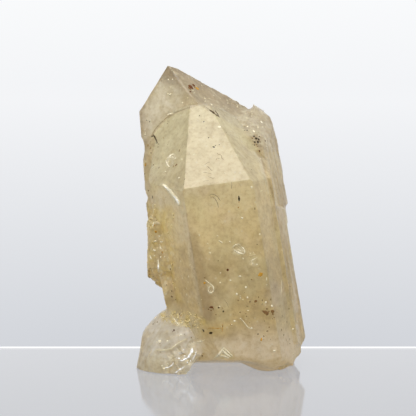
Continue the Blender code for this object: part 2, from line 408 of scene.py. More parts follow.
# underside and back: broken, with shell-shaped ripples
under = smoothstep(-0.2, -0.6, N[:, 2]) * smoothstep(0.3, 1.2, P[:, 2])
rise += under * (-0.28 + 0.26 * fbm(P, 5.0, 3, 61) + shards(P, 4.2, 62, 0.16))
back = smoothstep(0.25, 0.6, N[:, 1])
steps = np.sin((Q[:, 2] + 2.2 * fbm(P, 12.0, 2, 71)) * 2 * math.pi / 6.5)
rise += back * (-0.20 + 0.15 * smoothstep(-0.12, 0.12, steps) + 0.09 * fbm(P, 6.0, 3, 72))
# the seams where one crystal ends on another are fine grooves
rise -= 0.16 * near_line(RIM, 0.5, 1.0) + 0.14 * near_line(RIGHT_SEAM, 0.5, 1.0)
# the left prism face is stepped down above the streak
above = within([(162, 184), (169.5, 191), (178.5, 201.5), (182, 208), (184, 212), (184, 190), (165, 178)], 2.0)
rise -= 0.16 * above

# the foot's upper shell ends in a curved ledge, and below it the break is splintered
lx, ly = np.array(LEDGE, float).T
drop = (FY - np.interp(FX, lx, ly)) * PX  # mm below the ledge
front_side = FACING * smoothstep(12.0, 8.0, P[:, 1])
in_foot = front_side * smoothstep(132, 138, FX) * smoothstep(208, 198, FX) * smoothstep(300, 310, FY)
rise -= in_foot * 0.30 * smoothstep(-0.1, 0.5, drop) * smoothstep(6.0, 2.0, drop) * smoothstep(150, 160, FX)
splinter = in_foot * smoothstep(0.2, 1.6, drop) * smoothstep(160, 172, FX) * smoothstep(201, 194, FX)
slant = np.stack([P[:, 0] * 0.82 + P[:, 2] * 0.57, P[:, 1], (P[:, 2] * 0.82 - P[:, 0] * 0.57) * 0.42], 1)
rise += splinter * (-0.16 + shards(slant, 1.6, 81, 0.34) + 0.5 * shards(slant, 0.7, 87, 0.30))
ripples = np.cos(np.hypot(FX - 205, (FY - 385) * 1.15) * PX * 2 * math.pi / 3.1)
rise += in_foot * (1 - smoothstep(-0.2, 0.3, drop)) * 0.07 * ripples
frost += splinter * 0.4

P = P + N * np.clip(rise, -1.6, 0.25)[:, None]

# flakes off the faces, each where it shows in the frame: (x, y, half width, depth, stretch, angle)
FLAKES = [
    (238.5, 248.5, 1.9, 0.40, 1.25, -0.6),
    (211.0, 288.0, 1.3, 0.30, 1.35, 1.9),
    (254.0, 263.5, 1.15, 0.22, 1.5, 0.2),
    (171.0, 160.5, 1.8, 0.34, 1.35, 1.0),
    (219.8, 127.0, 0.7, 0.2, 1.2, 0.0),
    (236.5, 294.0, 0.7, 0.16, 1.2, 0.4),
    (266.0, 302.0, 0.7, 0.18, 1.2, 0.0),
    (247.5, 127.0, 0.8, 0.2, 1.2, 0.6),
    (262.0, 123.0, 0.8, 0.24, 1.2, 1.6),
    (170.0, 114.5, 0.8, 0.16, 1.7, 0.5),
    (150.5, 262.0, 1.2, 0.25, 1.8, 1.5),
]
for i, (fx, fy, wide, deep, stretch, angle) in enumerate(FLAKES):
    at, normal = seen(fx, fy)
    if at is None:
        continue
    P, inside = scoop(P, at, normal, wide, deep, stretch, angle, 100 + i)
    frost = np.maximum(frost, inside * 0.22)
for i in range(46):  # more round the sides and back
    pick = int(chance(i, 5) * (len(P) - 1))
    if N[pick][1] < -0.3 or abs(N[pick][2]) > 0.9:
        continue
    size = 0.7 + 1.9 * chance(i, 2)
    P, inside = scoop(P, P[pick].copy(), N[pick], size, size * 0.2, 1.3, float(i), 200 + i)
    frost = np.maximum(frost, inside * 0.3)

# the outer blade stops short at a notch in the right flank
edge = 285.4 + (FY - 205.5) * 13 / 72.5
over = np.clip(FX - edge, 0, 4.5) * smoothstep(203.5, 205.5, FY) * smoothstep(232, 224, FY)
P[:, 0] -= over * PX
P = relax(P, E, np.clip(over, 0, 1) * 0.6, 6)

# where crystals grew together the surface runs on: over the notch at the shoulder, and from the foot into the body
heal = np.exp(-(((FX - 251) / 9) ** 2 + ((FY - 124) / 13) ** 2)) * FACING * smoothstep(105, 112, FY)
P = relax(P, E, np.clip(heal * 1.6, 0, 0.92), 150)
heal = near_line([(170, 312), (182, 312), (194, 319), (203, 331), (204, 344)], 3.0, 6.0)
P = relax(P, E, heal * 0.9, 90)
heal = near_line([(198, 361), (236, 361), (262, 367), (296, 359)], 1.5, 4.0)
P = relax(P, E, heal * 0.85, 24)
heal = near_line([(171, 71), (180, 79), (191, 92), (205, 103)], 0.8, 2.6) * smoothstep(67, 73, FY)
P = relax(P, E, heal * 0.8, 8)

# worn edges: ridges give way a little, here and there more
put_points(mesh, P)
sharp = ((P - neighbour_mean(P, E)) * normals_of(mesh)).sum(1)
worn = smoothstep(0.03, 0.10, sharp)
P = relax(P, E, worn * (0.10 + 0.65 * smoothstep(0.25, 0.75, fbm(P, 2.2, 2, 91))), 3)
P = np.clip(P, LOW, HIGH)
P[:, 2] = np.where(P[:, 2] < 0.05, 0.0, P[:, 2])
put_points(mesh, P)
frost = np.clip(spread(frost, E, 1) + 0.3 * worn * smoothstep(0.3, 0.8, fbm(P, 1.6, 2, 93)), 0, 1)

# ----------------------------------------------------- tints of the quartz, with painted light and shade ----
PALE_STRAW = (0.88, 0.77, 0.48)
DEEP_STRAW = (0.75, 0.58, 0.27)
ROSY = (0.81, 0.68, 0.50)
BROWN_HAZE_AND_SHADE = (0.53, 0.39, 0.21)
OLIVE = (0.76, 0.68, 0.40)
CREAM_AND_HIGHLIGHT = (0.985, 0.89, 0.64)
CLEAR_GREY = (0.86, 0.81, 0.70)
LAVENDER = (0.82, 0.74, 0.65)
GOLD = (0.84, 0.66, 0.20)
RUST = (0.64, 0.46, 0.20)

foot = smoothstep(20.0, 13.0, P[:, 2]) * smoothstep(-4.5, -9.5, P[:, 0])
tone = smoothstep(74.0, 16.0, Q[:, 2]) + 0.16 * fbm(P, 16.0, 2, 301)
tint_and_painted_light = np.empty((len(P), 3))
mix = np.clip(tone, 0, 1)[:, None]
tint_and_painted_light[:] = np.array(PALE_STRAW) * (1 - mix) + np.array(DEEP_STRAW) * mix


def paint(colour, amount):
    global tint_and_painted_light
    m = np.clip(amount, 0, 1)[:, None]
    tint_and_painted_light = tint_and_painted_light * (1 - m) + np.array(colour) * m


def clouds(size, low, high, seed, octaves=3):
    return smoothstep(low, high, fbm(P, size, octaves, seed))


paint(ROSY, 0.55 * clouds(8.0, 0.0, 0.6, 311))
paint(OLIVE, 0.45 * clouds(10.0, 0.05, 0.6, 321))
paint(BROWN_HAZE_AND_SHADE, 0.35 * clouds(5.0, 0.25, 0.9, 331))
above_rim = within([(130, 60), (300, 60), (300, 150), (262, 152), (246, 132), (222, 118), (208, 109.3), (199, 104.2), (187, 108.2), (174.6, 112.9), (162, 122), (151.7, 136), (146, 160), (130, 160)], 2.0)
paint(ROSY, 0.6 * above_rim)
paint(BROWN_HAZE_AND_SHADE, 0.50 * above_rim * within([(160, 60), (250, 60), (258, 112), (226, 112), (206, 103), (184, 104), (176, 84)], 14.0))
paint(BROWN_HAZE_AND_SHADE, 0.78 * near_line([(172, 70), (190, 79), (215, 92), (243, 106)], 5.0, 7.0, (0.7, 1.0)))
paint(BROWN_HAZE_AND_SHADE, 0.45 * within([(178, 88), (206, 84), (244, 102), (244, 116), (222, 114), (204, 103)], 5.0))
paint((0.86, 0.79, 0.64), 0.5 * above_rim * within([(145, 104), (166, 76), (182, 92), (178, 108), (158, 122), (148, 138)], 8.0))
paint(CREAM_AND_HIGHLIGHT, 0.45 * above_rim * clouds(1.5, 0.10, 0.75, 441))
paint(BROWN_HAZE_AND_SHADE, 0.45 * above_rim * clouds(2.3, 0.15, 0.8, 451))
paint(BROWN_HAZE_AND_SHADE, 0.85 * within([(249, 134), (256, 133), (263, 138), (264, 148), (257, 149), (252, 143)], 5.0) * clouds(0.8, -0.45, 0.35, 461))
paint(BROWN_HAZE_AND_SHADE, 0.80 * within([(146, 141), (151, 134), (157, 138), (160, 146), (154, 151), (151, 162), (146, 158)], 5.0) * clouds(0.8, -0.35, 0.4, 462))
paint(RUST, 0.45 * within([(141, 140), (150, 132), (153, 150), (150, 172), (141, 168)], 4.0) * clouds(2.2, -0.5, 0.5, 341))
paint(OLIVE, 0.6 * on_face(-51.8, 34.6, 42.2))
paint(OLIVE, 0.35 * on_face(62.6, 33.6, 50.1))
paint((0.95, 0.83, 0.54), 0.85 * on_face(5.4, 38.4, 48.8))
# the hidden side: patchy, stained low down, and lined across the c axis as quartz prisms are
behind = smoothstep(0.05, 0.5, N[:, 1])
lines = np.sin((Q[:, 2] + 0.6 * fbm(P, 5.0, 2, 485)) * 2 * math.pi / 1.5)
paint(BROWN_HAZE_AND_SHADE, 0.45 * behind * clouds(6.0, 0.1, 0.8, 481))
paint(CREAM_AND_HIGHLIGHT, 0.55 * behind * clouds(2.6, 0.2, 0.8, 482))
paint(RUST, 0.55 * behind * smoothstep(34, 6, P[:, 2]) * clouds(3.0, 0.0, 0.6, 483))
paint(BROWN_HAZE_AND_SHADE, 0.30 * behind * smoothstep(0.4, 0.95, lines) * clouds(7.0, -0.3, 0.5, 484))
paint(RUST, 0.7 * near_line([(260, 152), (266, 164), (269.5, 177), (272.5, 190)], 2.6, 2.4, (0.8, 0.6)))
paint(CREAM_AND_HIGHLIGHT, 0.85 * within([(240, 110), (268, 116), (270, 134), (252, 138), (238, 126)], 8.0) * clouds(1.3, -0.05, 0.45, 351))
paint(BROWN_HAZE_AND_SHADE, 0.5 * within([(240, 108), (272, 116), (276, 140), (252, 140), (236, 126)], 8.0) * clouds(1.6, 0.15, 0.7, 352))
# stripes of the thin blades
stripe = fbm(np.stack([Q[:, 1] / 1.0 + 9, Q[:, 0] / 1.2, Q[:, 2] / 24.0], 1), 1.0, 3, 361)
blades = np.clip(flank + near_flank * 0.25, 0, 1)
paint(LAVENDER, 0.28 * blades * smoothstep(-0.05, 0.45, stripe))
paint(RUST, 0.35 * within([(262, 150), (280, 160), (286, 200), (284, 240), (276, 206), (268, 176)], 6.0) * clouds(2.0, -0.3, 0.6, 362))
paint(BROWN_HAZE_AND_SHADE, 0.45 * blades * smoothstep(-0.05, -0.5, stripe))
paint(LAVENDER, 0.50 * within([(276.5, 205), (283, 208), (287.5, 225), (290, 252), (286, 245), (281.5, 226)], 1.6))
paint(CREAM_AND_HIGHLIGHT, 0.6 * near_line([(287, 218), (289.4, 231)], 1.2, 1.4))
paint(LAVENDER, 0.55 * near_line([(291.3, 260), (294, 276), (296, 292), (297, 311)], 1.3, 1.2))
paint(LAVENDER, 0.8 * near_line([(297.5, 326), (300, 345)], 1.2, 1.4))
paint(BROWN_HAZE_AND_SHADE, 0.5 * near_line([(285.5, 236), (291, 262), (296.5, 285), (301.5, 315)], 0.6, 1.0))
# seams
paint(BROWN_HAZE_AND_SHADE, 0.75 * near_line(RIM, 0.5, 0.9, (1.0, 0.6)))
paint(BROWN_HAZE_AND_SHADE, 0.6 * near_line(RIGHT_SEAM, 0.6, 1.0))
paint(CREAM_AND_HIGHLIGHT, 0.75 * near_line([(x - 2.2, y) for x, y in RIGHT_SEAM[:6]], 0.9, 1.2, (1.0, 0.5)))
# the streak and the left prism edge: painted highlight along the streak and its bright core, a painted light band on
# the left prism face beside the edge, and painted shade in a band right of the edge
paint(CREAM_AND_HIGHLIGHT, 0.95 * near_line(STREAK_HIGHLIGHT, 1.3, 1.6, (0.75, 1.0)))
paint(CREAM_AND_HIGHLIGHT, 0.55 * near_line(LEFT_EDGE, 1.8, 3.2, (1.0, 0.12)))
paint((0.96, 0.85, 0.60), 0.6 * within([(160, 186), (170, 194), (181, 208), (187, 240), (176, 246), (158, 226), (150, 200)], 7.0))
paint(BROWN_HAZE_AND_SHADE, 0.70 * near_line([(x + 4.6, y) for x, y in LEFT_EDGE[1:]], 2.6, 7.0, (0.55, 1.0)))
paint(BROWN_HAZE_AND_SHADE, 0.75 * near_line([(x + 1.6, y) for x, y in LEFT_EDGE], 0.7, 1.2, (0.7, 1.0)))
paint((0.985, 0.86, 0.61), 0.75 * near_line([(x - 1.6, y) for x, y in LEFT_EDGE], 1.0, 2.6, (1.0, 0.35)))
paint(CREAM_AND_HIGHLIGHT, 0.95 * near_line([(171, 193.4), (175.6, 198.2), (180.8, 205), (183, 211)], 2.6, 2.4, (0.6, 1.0)))
# painted dark outlines along the silhouettes, standing in for internal reflection at the crystal's edges
paint(BROWN_HAZE_AND_SHADE, 0.50 * near_line([(168, 67), (140.5, 111.5), (142.5, 165), (146, 207), (149.2, 225), (147.6, 240), (147.6, 278)], 0.3, 1.6))
paint(BROWN_HAZE_AND_SHADE, 0.45 * near_line([(270, 117), (277, 140), (283.6, 180), (286, 203), (297.4, 278), (305, 330)], 0.3, 1.4))
paint(BROWN_HAZE_AND_SHADE, 0.35 * near_line([(167, 309), (144, 327.6), (141.8, 332), (136.4, 364)], 0.3, 1.6))
paint(BROWN_HAZE_AND_SHADE, 0.35 * within([(160, 262), (186, 250), (196, 300), (198, 314), (172, 312)], 8.0) * clouds(2.2, -0.5, 0.6, 463))
# lower down: painted shade at the left of the front face beside the left prism edge, rosier at the right foot
paint(BROWN_HAZE_AND_SHADE, 0.35 * within([(194, 246), (216, 256), (222, 300), (214, 322), (204, 318), (198, 280)], 14.0))
paint(ROSY, 0.5 * within([(228, 330), (262, 322), (290, 330), (296, 350), (270, 376), (238, 366)], 12.0))
paint(BROWN_HAZE_AND_SHADE, 0.30 * within([(250, 300), (278, 300), (284, 330), (262, 334)], 9.0) * clouds(1.6, -0.2, 0.6, 371))
paint(DEEP_STRAW, 0.7 * near_line([(240, 362.5), (252, 369), (266, 372), (280, 368), (291, 360)], 1.2, 1.6))
paint((0.87, 0.76, 0.60), 0.75 * within([(192, 340), (240, 336), (300, 334), (300, 362), (268, 376), (236, 366), (196, 366)], 12.0))
paint(CREAM_AND_HIGHLIGHT, 0.95 * within([(212, 361.5), (224, 347), (234.5, 356.5), (233, 361.5)], 1.4))
# the clear foot, with its tan outer rim
paint(CLEAR_GREY, 0.92 * foot)
paint(DEEP_STRAW, 0.55 * near_line([(143, 332), (139, 345), (136.5, 358), (136, 368)], 2.2, 4.5) * foot)
paint((0.86, 0.79, 0.60), 0.6 * within([(137, 356), (160, 356), (168, 368), (150, 372), (136, 370)], 7.0) * foot)
ribs = np.cos(np.hypot(FX - 212, (FY - 392) * 1.1) * PX * 2 * math.pi / 2.4 + 1.5 * fbm(P, 4.0, 2, 372))
paint(CREAM_AND_HIGHLIGHT, 0.45 * foot * in_foot * smoothstep(0.3, 0.95, ribs) * clouds(3.0, -0.4, 0.4, 373))
paint(BROWN_HAZE_AND_SHADE, 0.22 * foot * in_foot * smoothstep(0.4, 1.0, -ribs) * clouds(3.0, -0.4, 0.4, 374))
# painted highlight along the foot's ledge and painted shade just below it; painted highlight down the foot's bright
# right flank
paint(CREAM_AND_HIGHLIGHT, 0.8 * near_line([(x, y - 0.8) for x, y in LEDGE[1:7]], 0.4, 0.9))
paint(BROWN_HAZE_AND_SHADE, 0.35 * near_line([(x, y + 1.6) for x, y in LEDGE[1:7]], 0.5, 1.6))
paint(CREAM_AND_HIGHLIGHT, 0.8 * near_line([(192.5, 346), (192, 352), (189, 358), (187, 363)], 1.6, 1.8))
# golden crust between foot and body, and on the side block
crust = within([(158, 313), (176, 311), (196, 315), (206, 322), (203, 327.5), (190, 328), (176, 325), (163, 321)], 4.0)
paint(GOLD, 0.75 * crust * clouds(1.8, -0.15, 0.35, 391))
paint(CREAM_AND_HIGHLIGHT, 0.8 * near_line([(172.9, 317.4), (176, 321.8), (178.6, 325), (183.7, 321.2)], 1.0, 1.2))
paint(GOLD, 0.55 * block * clouds(2.6, -0.05, 0.5, 401))
paint(GOLD, 0.40 * within([(150, 222), (166, 226), (176, 262), (172, 296), (160, 292), (152, 262)], 6.0) * clouds(2.0, 0.0, 0.5, 411))
paint(CREAM_AND_HIGHLIGHT, 0.75 * block * clouds(1.3, 0.12, 0.5, 421) * smoothstep(227, 240, FY))
paint(GOLD, 0.45 * block * smoothstep(240, 226, FY))
paint(RUST, 0.40 * block * clouds(1.8, 0.15, 0.6, 422))
# painted highlight: the bright vertical glint on the side block
paint(CREAM_AND_HIGHLIGHT, 0.9 * near_line([(158.2, 259.5), (158.4, 272.5)], 0.9, 1.0))
stain = np.clip(0.6 * crust * clouds(1.8, -0.15, 0.35, 391) + 0.5 * block * clouds(2.6, -0.05, 0.5, 401), 0, 1)
# fine mottling everywhere
mottle = 1 + 0.09 * fbm(P, 3.2, 3, 431) + 0.085 * fbm(P, 1.3, 2, 432) + 0.055 * fbm(P, 0.65, 1, 433)
tint_and_painted_light *= np.stack([mottle, mottle**1.15, mottle**1.5], 1)
paint(CREAM_AND_HIGHLIGHT, 0.5 * frost)
# pale bruises under the flakes
for bruise, much in (
    ([(232.5, 248), (235, 244.5), (239.5, 243.6), (243.6, 247), (245.4, 252), (243.6, 254.8), (238, 253.6), (234, 251)], 0.75),
    ([(204.8, 279.6), (208.8, 281.4), (213.6, 285.6), (215, 290), (212.4, 293.6), (208.2, 292.6), (207, 287.4)], 0.65),
    ([(248.6, 261.8), (253, 258.8), (258.2, 258.4), (259, 263.4), (254, 266), (249, 265)], 0.6),
    ([(165, 160), (168.6, 154.6), (174.6, 153.4), (176.4, 157.4), (171.6, 160), (170, 167), (166, 165.4)], 0.7),
    ([(216.4, 125.4), (223.4, 125), (223.8, 129), (217.4, 129.4)], 0.7),
    ([(229.6, 276), (245, 274.4), (246, 279), (232, 281.4)], 0.3),
):
    paint(CREAM_AND_HIGHLIGHT, much * within(bruise, 1.6) * clouds(0.9, -0.9, 0.2, 471))


def lighten(times, mask):
    global tint_and_painted_light
    tint_and_painted_light = tint_and_painted_light * (1 + (times - 1) * np.clip(mask, 0, 1))[:, None]


# painted shade on the two upward-facing tip faces, which the overhead light brightens
lighten(0.97, on_face(5.4, 38.4, 48.8))
lighten(0.92, on_face(-51.8, 34.6, 42.2))
lighten(0.88, above_rim)
lighten(0.93, within([(205, 262), (285, 262), (290, 325), (205, 325)], 20.0))
# painted shade in a band right of the left prism edge
lighten(0.86, near_line([(x + 5.0, y) for x, y in LEFT_EDGE[2:]], 3.0, 7.0))
lighten(1.10, within([(253, 160), (262, 160), (272, 200), (258, 204)], 8.0))
# painted light on the upper front faces and on the light band of the left prism face
lighten(1.18, within([(186, 192), (250, 183), (258, 215), (252, 246), (200, 246), (188, 216)], 18.0))
lighten(1.19, within([(156, 190), (172, 196), (184, 212), (190, 246), (170, 246), (158, 226)], 8.0))
# painted light lifting the shade on the downward-facing arch base and right foot
lighten(1.18, within([(196, 344), (240, 344), (246, 366), (198, 366)], 8.0))
lighten(1.14, within([(236, 338), (300, 330), (300, 360), (268, 374), (240, 368)], 10.0))
# painted light over a dark band at the foot of the side block; painted shade on the block's upward-facing top
lighten(1.20, within([(148, 269.5), (174, 271.5), (174, 276), (148, 275)], 1.6))
lighten(0.84, within([(147, 215.5), (161, 217), (161, 225), (147, 225)], 1.6))
lighten(1.07, block)
lighten(0.96, within([(205, 314), (262, 314), (262, 346), (205, 346)], 5.0))
# painted shade on the upper part of the middle tip face
lighten(0.95, on_face(5.4, 38.4, 48.8) * smoothstep(152, 126, FY))
# painted shade over the lit crease that runs down from the apex
lighten(0.86, near_line([(171, 71), (180, 79), (191, 92), (205, 103)], 0.9, 1.8))
lighten(0.95, within([(178, 84), (206, 84), (242, 102), (242, 114), (222, 112), (204, 102), (180, 103)], 4.0))
lighten(1.10, within([(258, 168), (272, 168), (276, 204), (262, 204)], 6.0))
lighten(0.93, within([(136, 344), (168, 344), (170, 370), (136, 370)], 6.0))
lighten(0.88, within([(264, 256), (288, 256), (298, 318), (270, 318)], 10.0))
tint_and_painted_light = tint_and_painted_light * (0.93 / np.maximum(tint_and_painted_light.max(1), 0.93))[:, None]  # the hue is kept where it would clip
tint_and_painted_light = np.clip(tint_and_painted_light, 0.02, 0.985)


def give(mesh, name, values):
    layer = mesh.attributes.new(name, "FLOAT", "POINT")
    layer.data.foreach_set("value", values.astype(np.float32))


give(mesh, "frost", frost)
give(mesh, "stain", stain)
layer = mesh.attributes.new("tint_and_painted_light", "FLOAT_COLOR", "POINT")
layer.data.foreach_set("color", np.concatenate([tint_and_painted_light, np.ones((len(tint_and_painted_light), 1))], 1).astype(np.float32).ravel())


# ---------------------------------------------------------------- shading ----
def new_material(name):
    mat = bpy.data.materials.new(name)
    mat.use_nodes = True
    nt = mat.node_tree
    nt.nodes.clear()
    return mat, nt, nt.nodes.new("ShaderNodeOutputMaterial")


def noise_node(nt, coord, scale, detail=3.0, rough=0.55, stretch=None, distort=0.0):
    n = nt.nodes.new("ShaderNodeTexNoise")
    n.inputs["Scale"].default_value = scale
    n.inputs["Detail"].default_value = detail
    n.inputs["Roughness"].default_value = rough
    n.inputs["Distortion"].default_value = distort
    source = coord.outputs["Object"]
    if stretch is not None:
        m = nt.nodes.new("ShaderNodeMapping")
        m.inputs["Rotation"].default_value = (0.0, LEAN, 0.0)
        m.inputs["Scale"].default_value = stretch
        nt.links.new(source, m.inputs["Vector"])
        source = m.outputs["Vector"]
    nt.links.new(source, n.inputs["Vector"])
    return n.outputs["Fac"]


def ramp_node(nt, fac, stops):
    r = nt.nodes.new("ShaderNodeValToRGB")
    e = r.color_ramp.elements
    e[0].position, e[0].color = stops[0][0], (*stops[0][1], 1)
    e[1].position, e[1].color = stops[-1][0], (*stops[-1][1], 1)
    for pos, col in stops[1:-1]:
        s = e.new(pos)
        s.color = (*col, 1)
    nt.links.new(fac, r.inputs["Fac"])
    return r.outputs["Color"]


def mix_node(nt, fac, a, b, mode="MIX"):
    m = nt.nodes.new("ShaderNodeMix")
    m.data_type, m.blend_type, m.clamp_result = "RGBA", mode, True
    ins = [s for s in m.inputs if s.enabled]
    for value, socket in zip((fac, a, b), ins):
        if isinstance(value, (int, float)):
            socket.default_value = value
        elif isinstance(value, tuple):
            socket.default_value = (*value, 1)
        else:
            nt.links.new(value, socket)
    return next(s for s in m.outputs if s.enabled)


def maths(nt, op, a, b=None, clamp=False):
    m = nt.nodes.new("ShaderNodeMath")
    m.operation, m.use_clamp = op, clamp
    for value, socket in ((a, m.inputs[0]), (b, m.inputs[1])):
        if value is None:
            continue
        if isinstance(value, (int, float)):
            socket.default_value = value
        else:
            nt.links.new(value, socket)
    return m.outputs["Value"]


def remap(nt, value, a, b, c, d):
    m = nt.nodes.new("ShaderNodeMapRange")
    for name, v in (("From Min", a), ("From Max", b), ("To Min", c), ("To Max", d)):
        m.inputs[name].default_value = v
    nt.links.new(value, m.inputs["Value"])
    return m.outputs["Result"]


def attribute(nt, name, output="Fac"):
    a = nt.nodes.new("ShaderNodeAttribute")
    a.attribute_name = name
    return a.outputs[output]


def quartz_material():
    mat, nt, out = new_material("quartz")
    link = nt.links.new
    bsdf = nt.nodes.new("ShaderNodeBsdfPrincipled")
    bsdf.inputs["IOR"].default_value = 1.544
    bsdf.inputs["Transmission Weight"].default_value = 0.66
    bsdf.inputs["Coat Weight"].default_value = 0.25
    bsdf.inputs["Coat Roughness"].default_value = 0.10
    coord = nt.nodes.new("ShaderNodeTexCoord")
    cloud = noise_node(nt, coord, 230.0, 5.0, 0.62, distort=0.6)
    fine = noise_node(nt, coord, 950.0, 4.0, 0.62, distort=0.3)
    grain = noise_node(nt, coord, 2600.0, 2.0, 0.5)
    striae = noise_node(nt, coord, 260.0, 3.0, 0.6, stretch=(0.35, 0.35, 5.0))
    shade = ramp_node(nt, cloud, [(0.28, (0.80, 0.76, 0.66)), (0.5, (0.98, 0.98, 0.97)), (0.74, (1.08, 1.09, 1.14))])
    colour = mix_node(nt, 1.0, attribute(nt, "tint_and_painted_light", "Color"), shade, "MULTIPLY")
    shade = ramp_node(nt, fine, [(0.30, (0.80, 0.75, 0.64)), (0.5, (1.0, 1.0, 1.0)), (0.72, (1.10, 1.12, 1.18))])
    colour = mix_node(nt, 1.0, colour, shade, "MULTIPLY")
    cells = nt.nodes.new("ShaderNodeTexVoronoi")
    cells.inputs["Scale"].default_value = 520.0
    link(coord.outputs["Object"], cells.inputs["Vector"])
    dots = maths(nt, "MULTIPLY", remap(nt, cells.outputs["Distance"], 0.12, 0.22, 0.55, 0.0), remap(nt, cloud, 0.45, 0.62, 0.0, 1.0), True)
    colour = mix_node(nt, dots, colour, (0.96, 0.90, 0.76))
    link(colour, bsdf.inputs["Base Color"])
    rough = remap(nt, cloud, 0.3, 0.7, 0.34, 0.46)
    rough = maths(nt, "ADD", rough, maths(nt, "MULTIPLY", attribute(nt, "frost"), 0.12))
    rough = maths(nt, "ADD", rough, maths(nt, "MULTIPLY", attribute(nt, "stain"), 0.2), True)
    link(rough, bsdf.inputs["Roughness"])
    height = maths(nt, "ADD", maths(nt, "MULTIPLY", striae, 0.12), maths(nt, "MULTIPLY", fine, 0.7))
    height = maths(nt, "ADD", height, maths(nt, "MULTIPLY", grain, 0.15))
    bump = nt.nodes.new("ShaderNodeBump")
    bump.inputs["Strength"].default_value = 0.25
    bump.inputs["Distance"].default_value = 0.0002
    link(height, bump.inputs["Height"])
    link(bump.outputs["Normal"], bsdf.inputs["Normal"])
    absorb = nt.nodes.new("ShaderNodeVolumeAbsorption")
    absorb.inputs["Color"].default_value = (0.80, 0.67, 0.14, 1)
    absorb.inputs["Density"].default_value = 28.0
    link(bsdf.outputs["BSDF"], out.inputs["Surface"])
    link(absorb.outputs["Volume"], out.inputs["Volume"])
    return mat


def grain_material(name, dark, light, scale, rough, shine=0.5):
    """Mineral grains and films, and painted highlights: a mottled colour between two tones."""
    mat, nt, out = new_material(name)
    bsdf = nt.nodes.new("ShaderNodeBsdfPrincipled")
    bsdf.inputs["Specular IOR Level"].default_value = shine
    coord = nt.nodes.new("ShaderNodeTexCoord")
    fac = noise_node(nt, coord, scale, 4.0, 0.6)
    nt.links.new(ramp_node(nt, fac, [(0.3, dark), (0.7, light)]), bsdf.inputs["Base Color"])
    nt.links.new(remap(nt, fac, 0.3, 0.7, rough - 0.1, rough + 0.1), bsdf.inputs["Roughness"])
    nt.links.new(bsdf.outputs["BSDF"], out.inputs["Surface"])
    return mat


def veil_material(name, colour, low, high, scale, most):
    """A healed crack: a thin haze, open here and there."""
    mat, nt, out = new_material(name)
    bsdf = nt.nodes.new("ShaderNodeBsdfPrincipled")
    bsdf.inputs["Base Color"].default_value = (*colour, 1)
    bsdf.inputs["Roughness"].default_value = 0.6
    bsdf.inputs["Specular IOR Level"].default_value = 0.1
    coord = nt.nodes.new("ShaderNodeTexCoord")
    fac = noise_node(nt, coord, scale, 5.0, 0.65, distort=1.0)
    nt.links.new(remap(nt, fac, low, high, 0.0, most), bsdf.inputs["Alpha"])
    nt.links.new(bsdf.outputs["BSDF"], out.inputs["Surface"])
    return mat


# ----------------------------------------------------------------- pieces ----
def piece(name, mesh, material, smooth=True):
    ob = bpy.data.objects.new(name, mesh)
    scene.collection.objects.link(ob)
    mesh.materials.clear()
    mesh.materials.append(material)
    mesh.polygons.foreach_set("use_smooth", [smooth] * len(mesh.polygons))
    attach(ob, "root")
    return ob


crystal = piece("crystal", mesh, quartz_material())
mesh.set_sharp_from_angle(angle=math.radians(24))
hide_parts("quartz_crystal")
worn_tree = tree_of(mesh)
NW = normals_of(mesh)


def skin(px, py):
    at, normal, _, _ = worn_tree.ray_cast(CAM_POS, sight(px, py))
    return (np.array(at) * 1000.0, np.array(normal)) if at is not None else (None, None)


def mesh_from(name, parts):
    verts, faces, base = [], [], 0
    for v, f in parts:
        verts.append(v)
        faces += [tuple(i + base for i in face) for face in f]
        base += len(v)
    v = np.clip(np.concatenate(verts), LOW, HIGH)
    v[:, 2] = np.maximum(v[:, 2], 0.02)
    m = bpy.data.meshes.new(name)
    m.from_pydata([tuple(r) for r in v * MM], [], faces)
    m.update()
    return m


def ball(detail):
    bm = bmesh.new()
    bmesh.ops.create_icosphere(bm, subdivisions=detail, radius=1.0)
    v = np.array([tuple(p.co) for p in bm.verts])
    f = [tuple(p.index for p in face.verts) for face in bm.faces]
    bm.free()
    return v, f


BALLS = {1: ball(1), 2: ball(2), 3: ball(3)}


def across(n, tilt):
    side = np.cross((0.0, 0.0, 1.0), n)
    side = side / np.linalg.norm(side) if np.linalg.norm(side) > 0.1 else np.array((1.0, 0, 0))
    up = np.cross(n, side)
    return side * math.cos(tilt) + up * math.sin(tilt), -side * math.sin(tilt) + up * math.cos(tilt)


def grain(centre, normal, wide, tall, thick, tilt=0.0, seed=0, rough=0.28, detail=2):
    """A small closed lump, wide by tall across the view and thick along the normal."""
    v, f = BALLS[detail]
    n = normal / np.linalg.norm(normal)
    u, w = across(n, tilt)
    q = v * (1 + rough * fbm(v + seed * 3.7, 0.9, 2, seed))[:, None]
    return centre + np.outer(q[:, 0] * wide / 2, u) + np.outer(q[:, 1] * tall / 2, w) + np.outer(q[:, 2] * thick / 2, n), f


def draped(centre, normal, wide, tall, thick, tilt, seed, rough=0.28, detail=2, lift=0.0):
    """A flat grain that follows the crystal's own surface, half sunk in it."""
    v, f = BALLS[detail]
    n = normal / np.linalg.norm(normal)
    u, w = across(n, tilt)
    q = v * (1 + rough * fbm(v + seed * 3.7, 0.9, 2, seed))[:, None]
    flat = centre + np.outer(q[:, 0] * wide / 2, u) + np.outer(q[:, 1] * tall / 2, w)
    out = np.empty_like(flat)
    for i, p in enumerate(flat):
        hit = worn_tree.ray_cast(Vector((p + n * 0.9) * MM), Vector(-n), 1.8 * MM)[0]
        h = 0.9 - (hit - Vector((p + n * 0.9) * MM)).length * 1000 if hit is not None else -0.2
        out[i] = p + n * (h + lift + q[i, 2] * thick / 2)
    return out, f


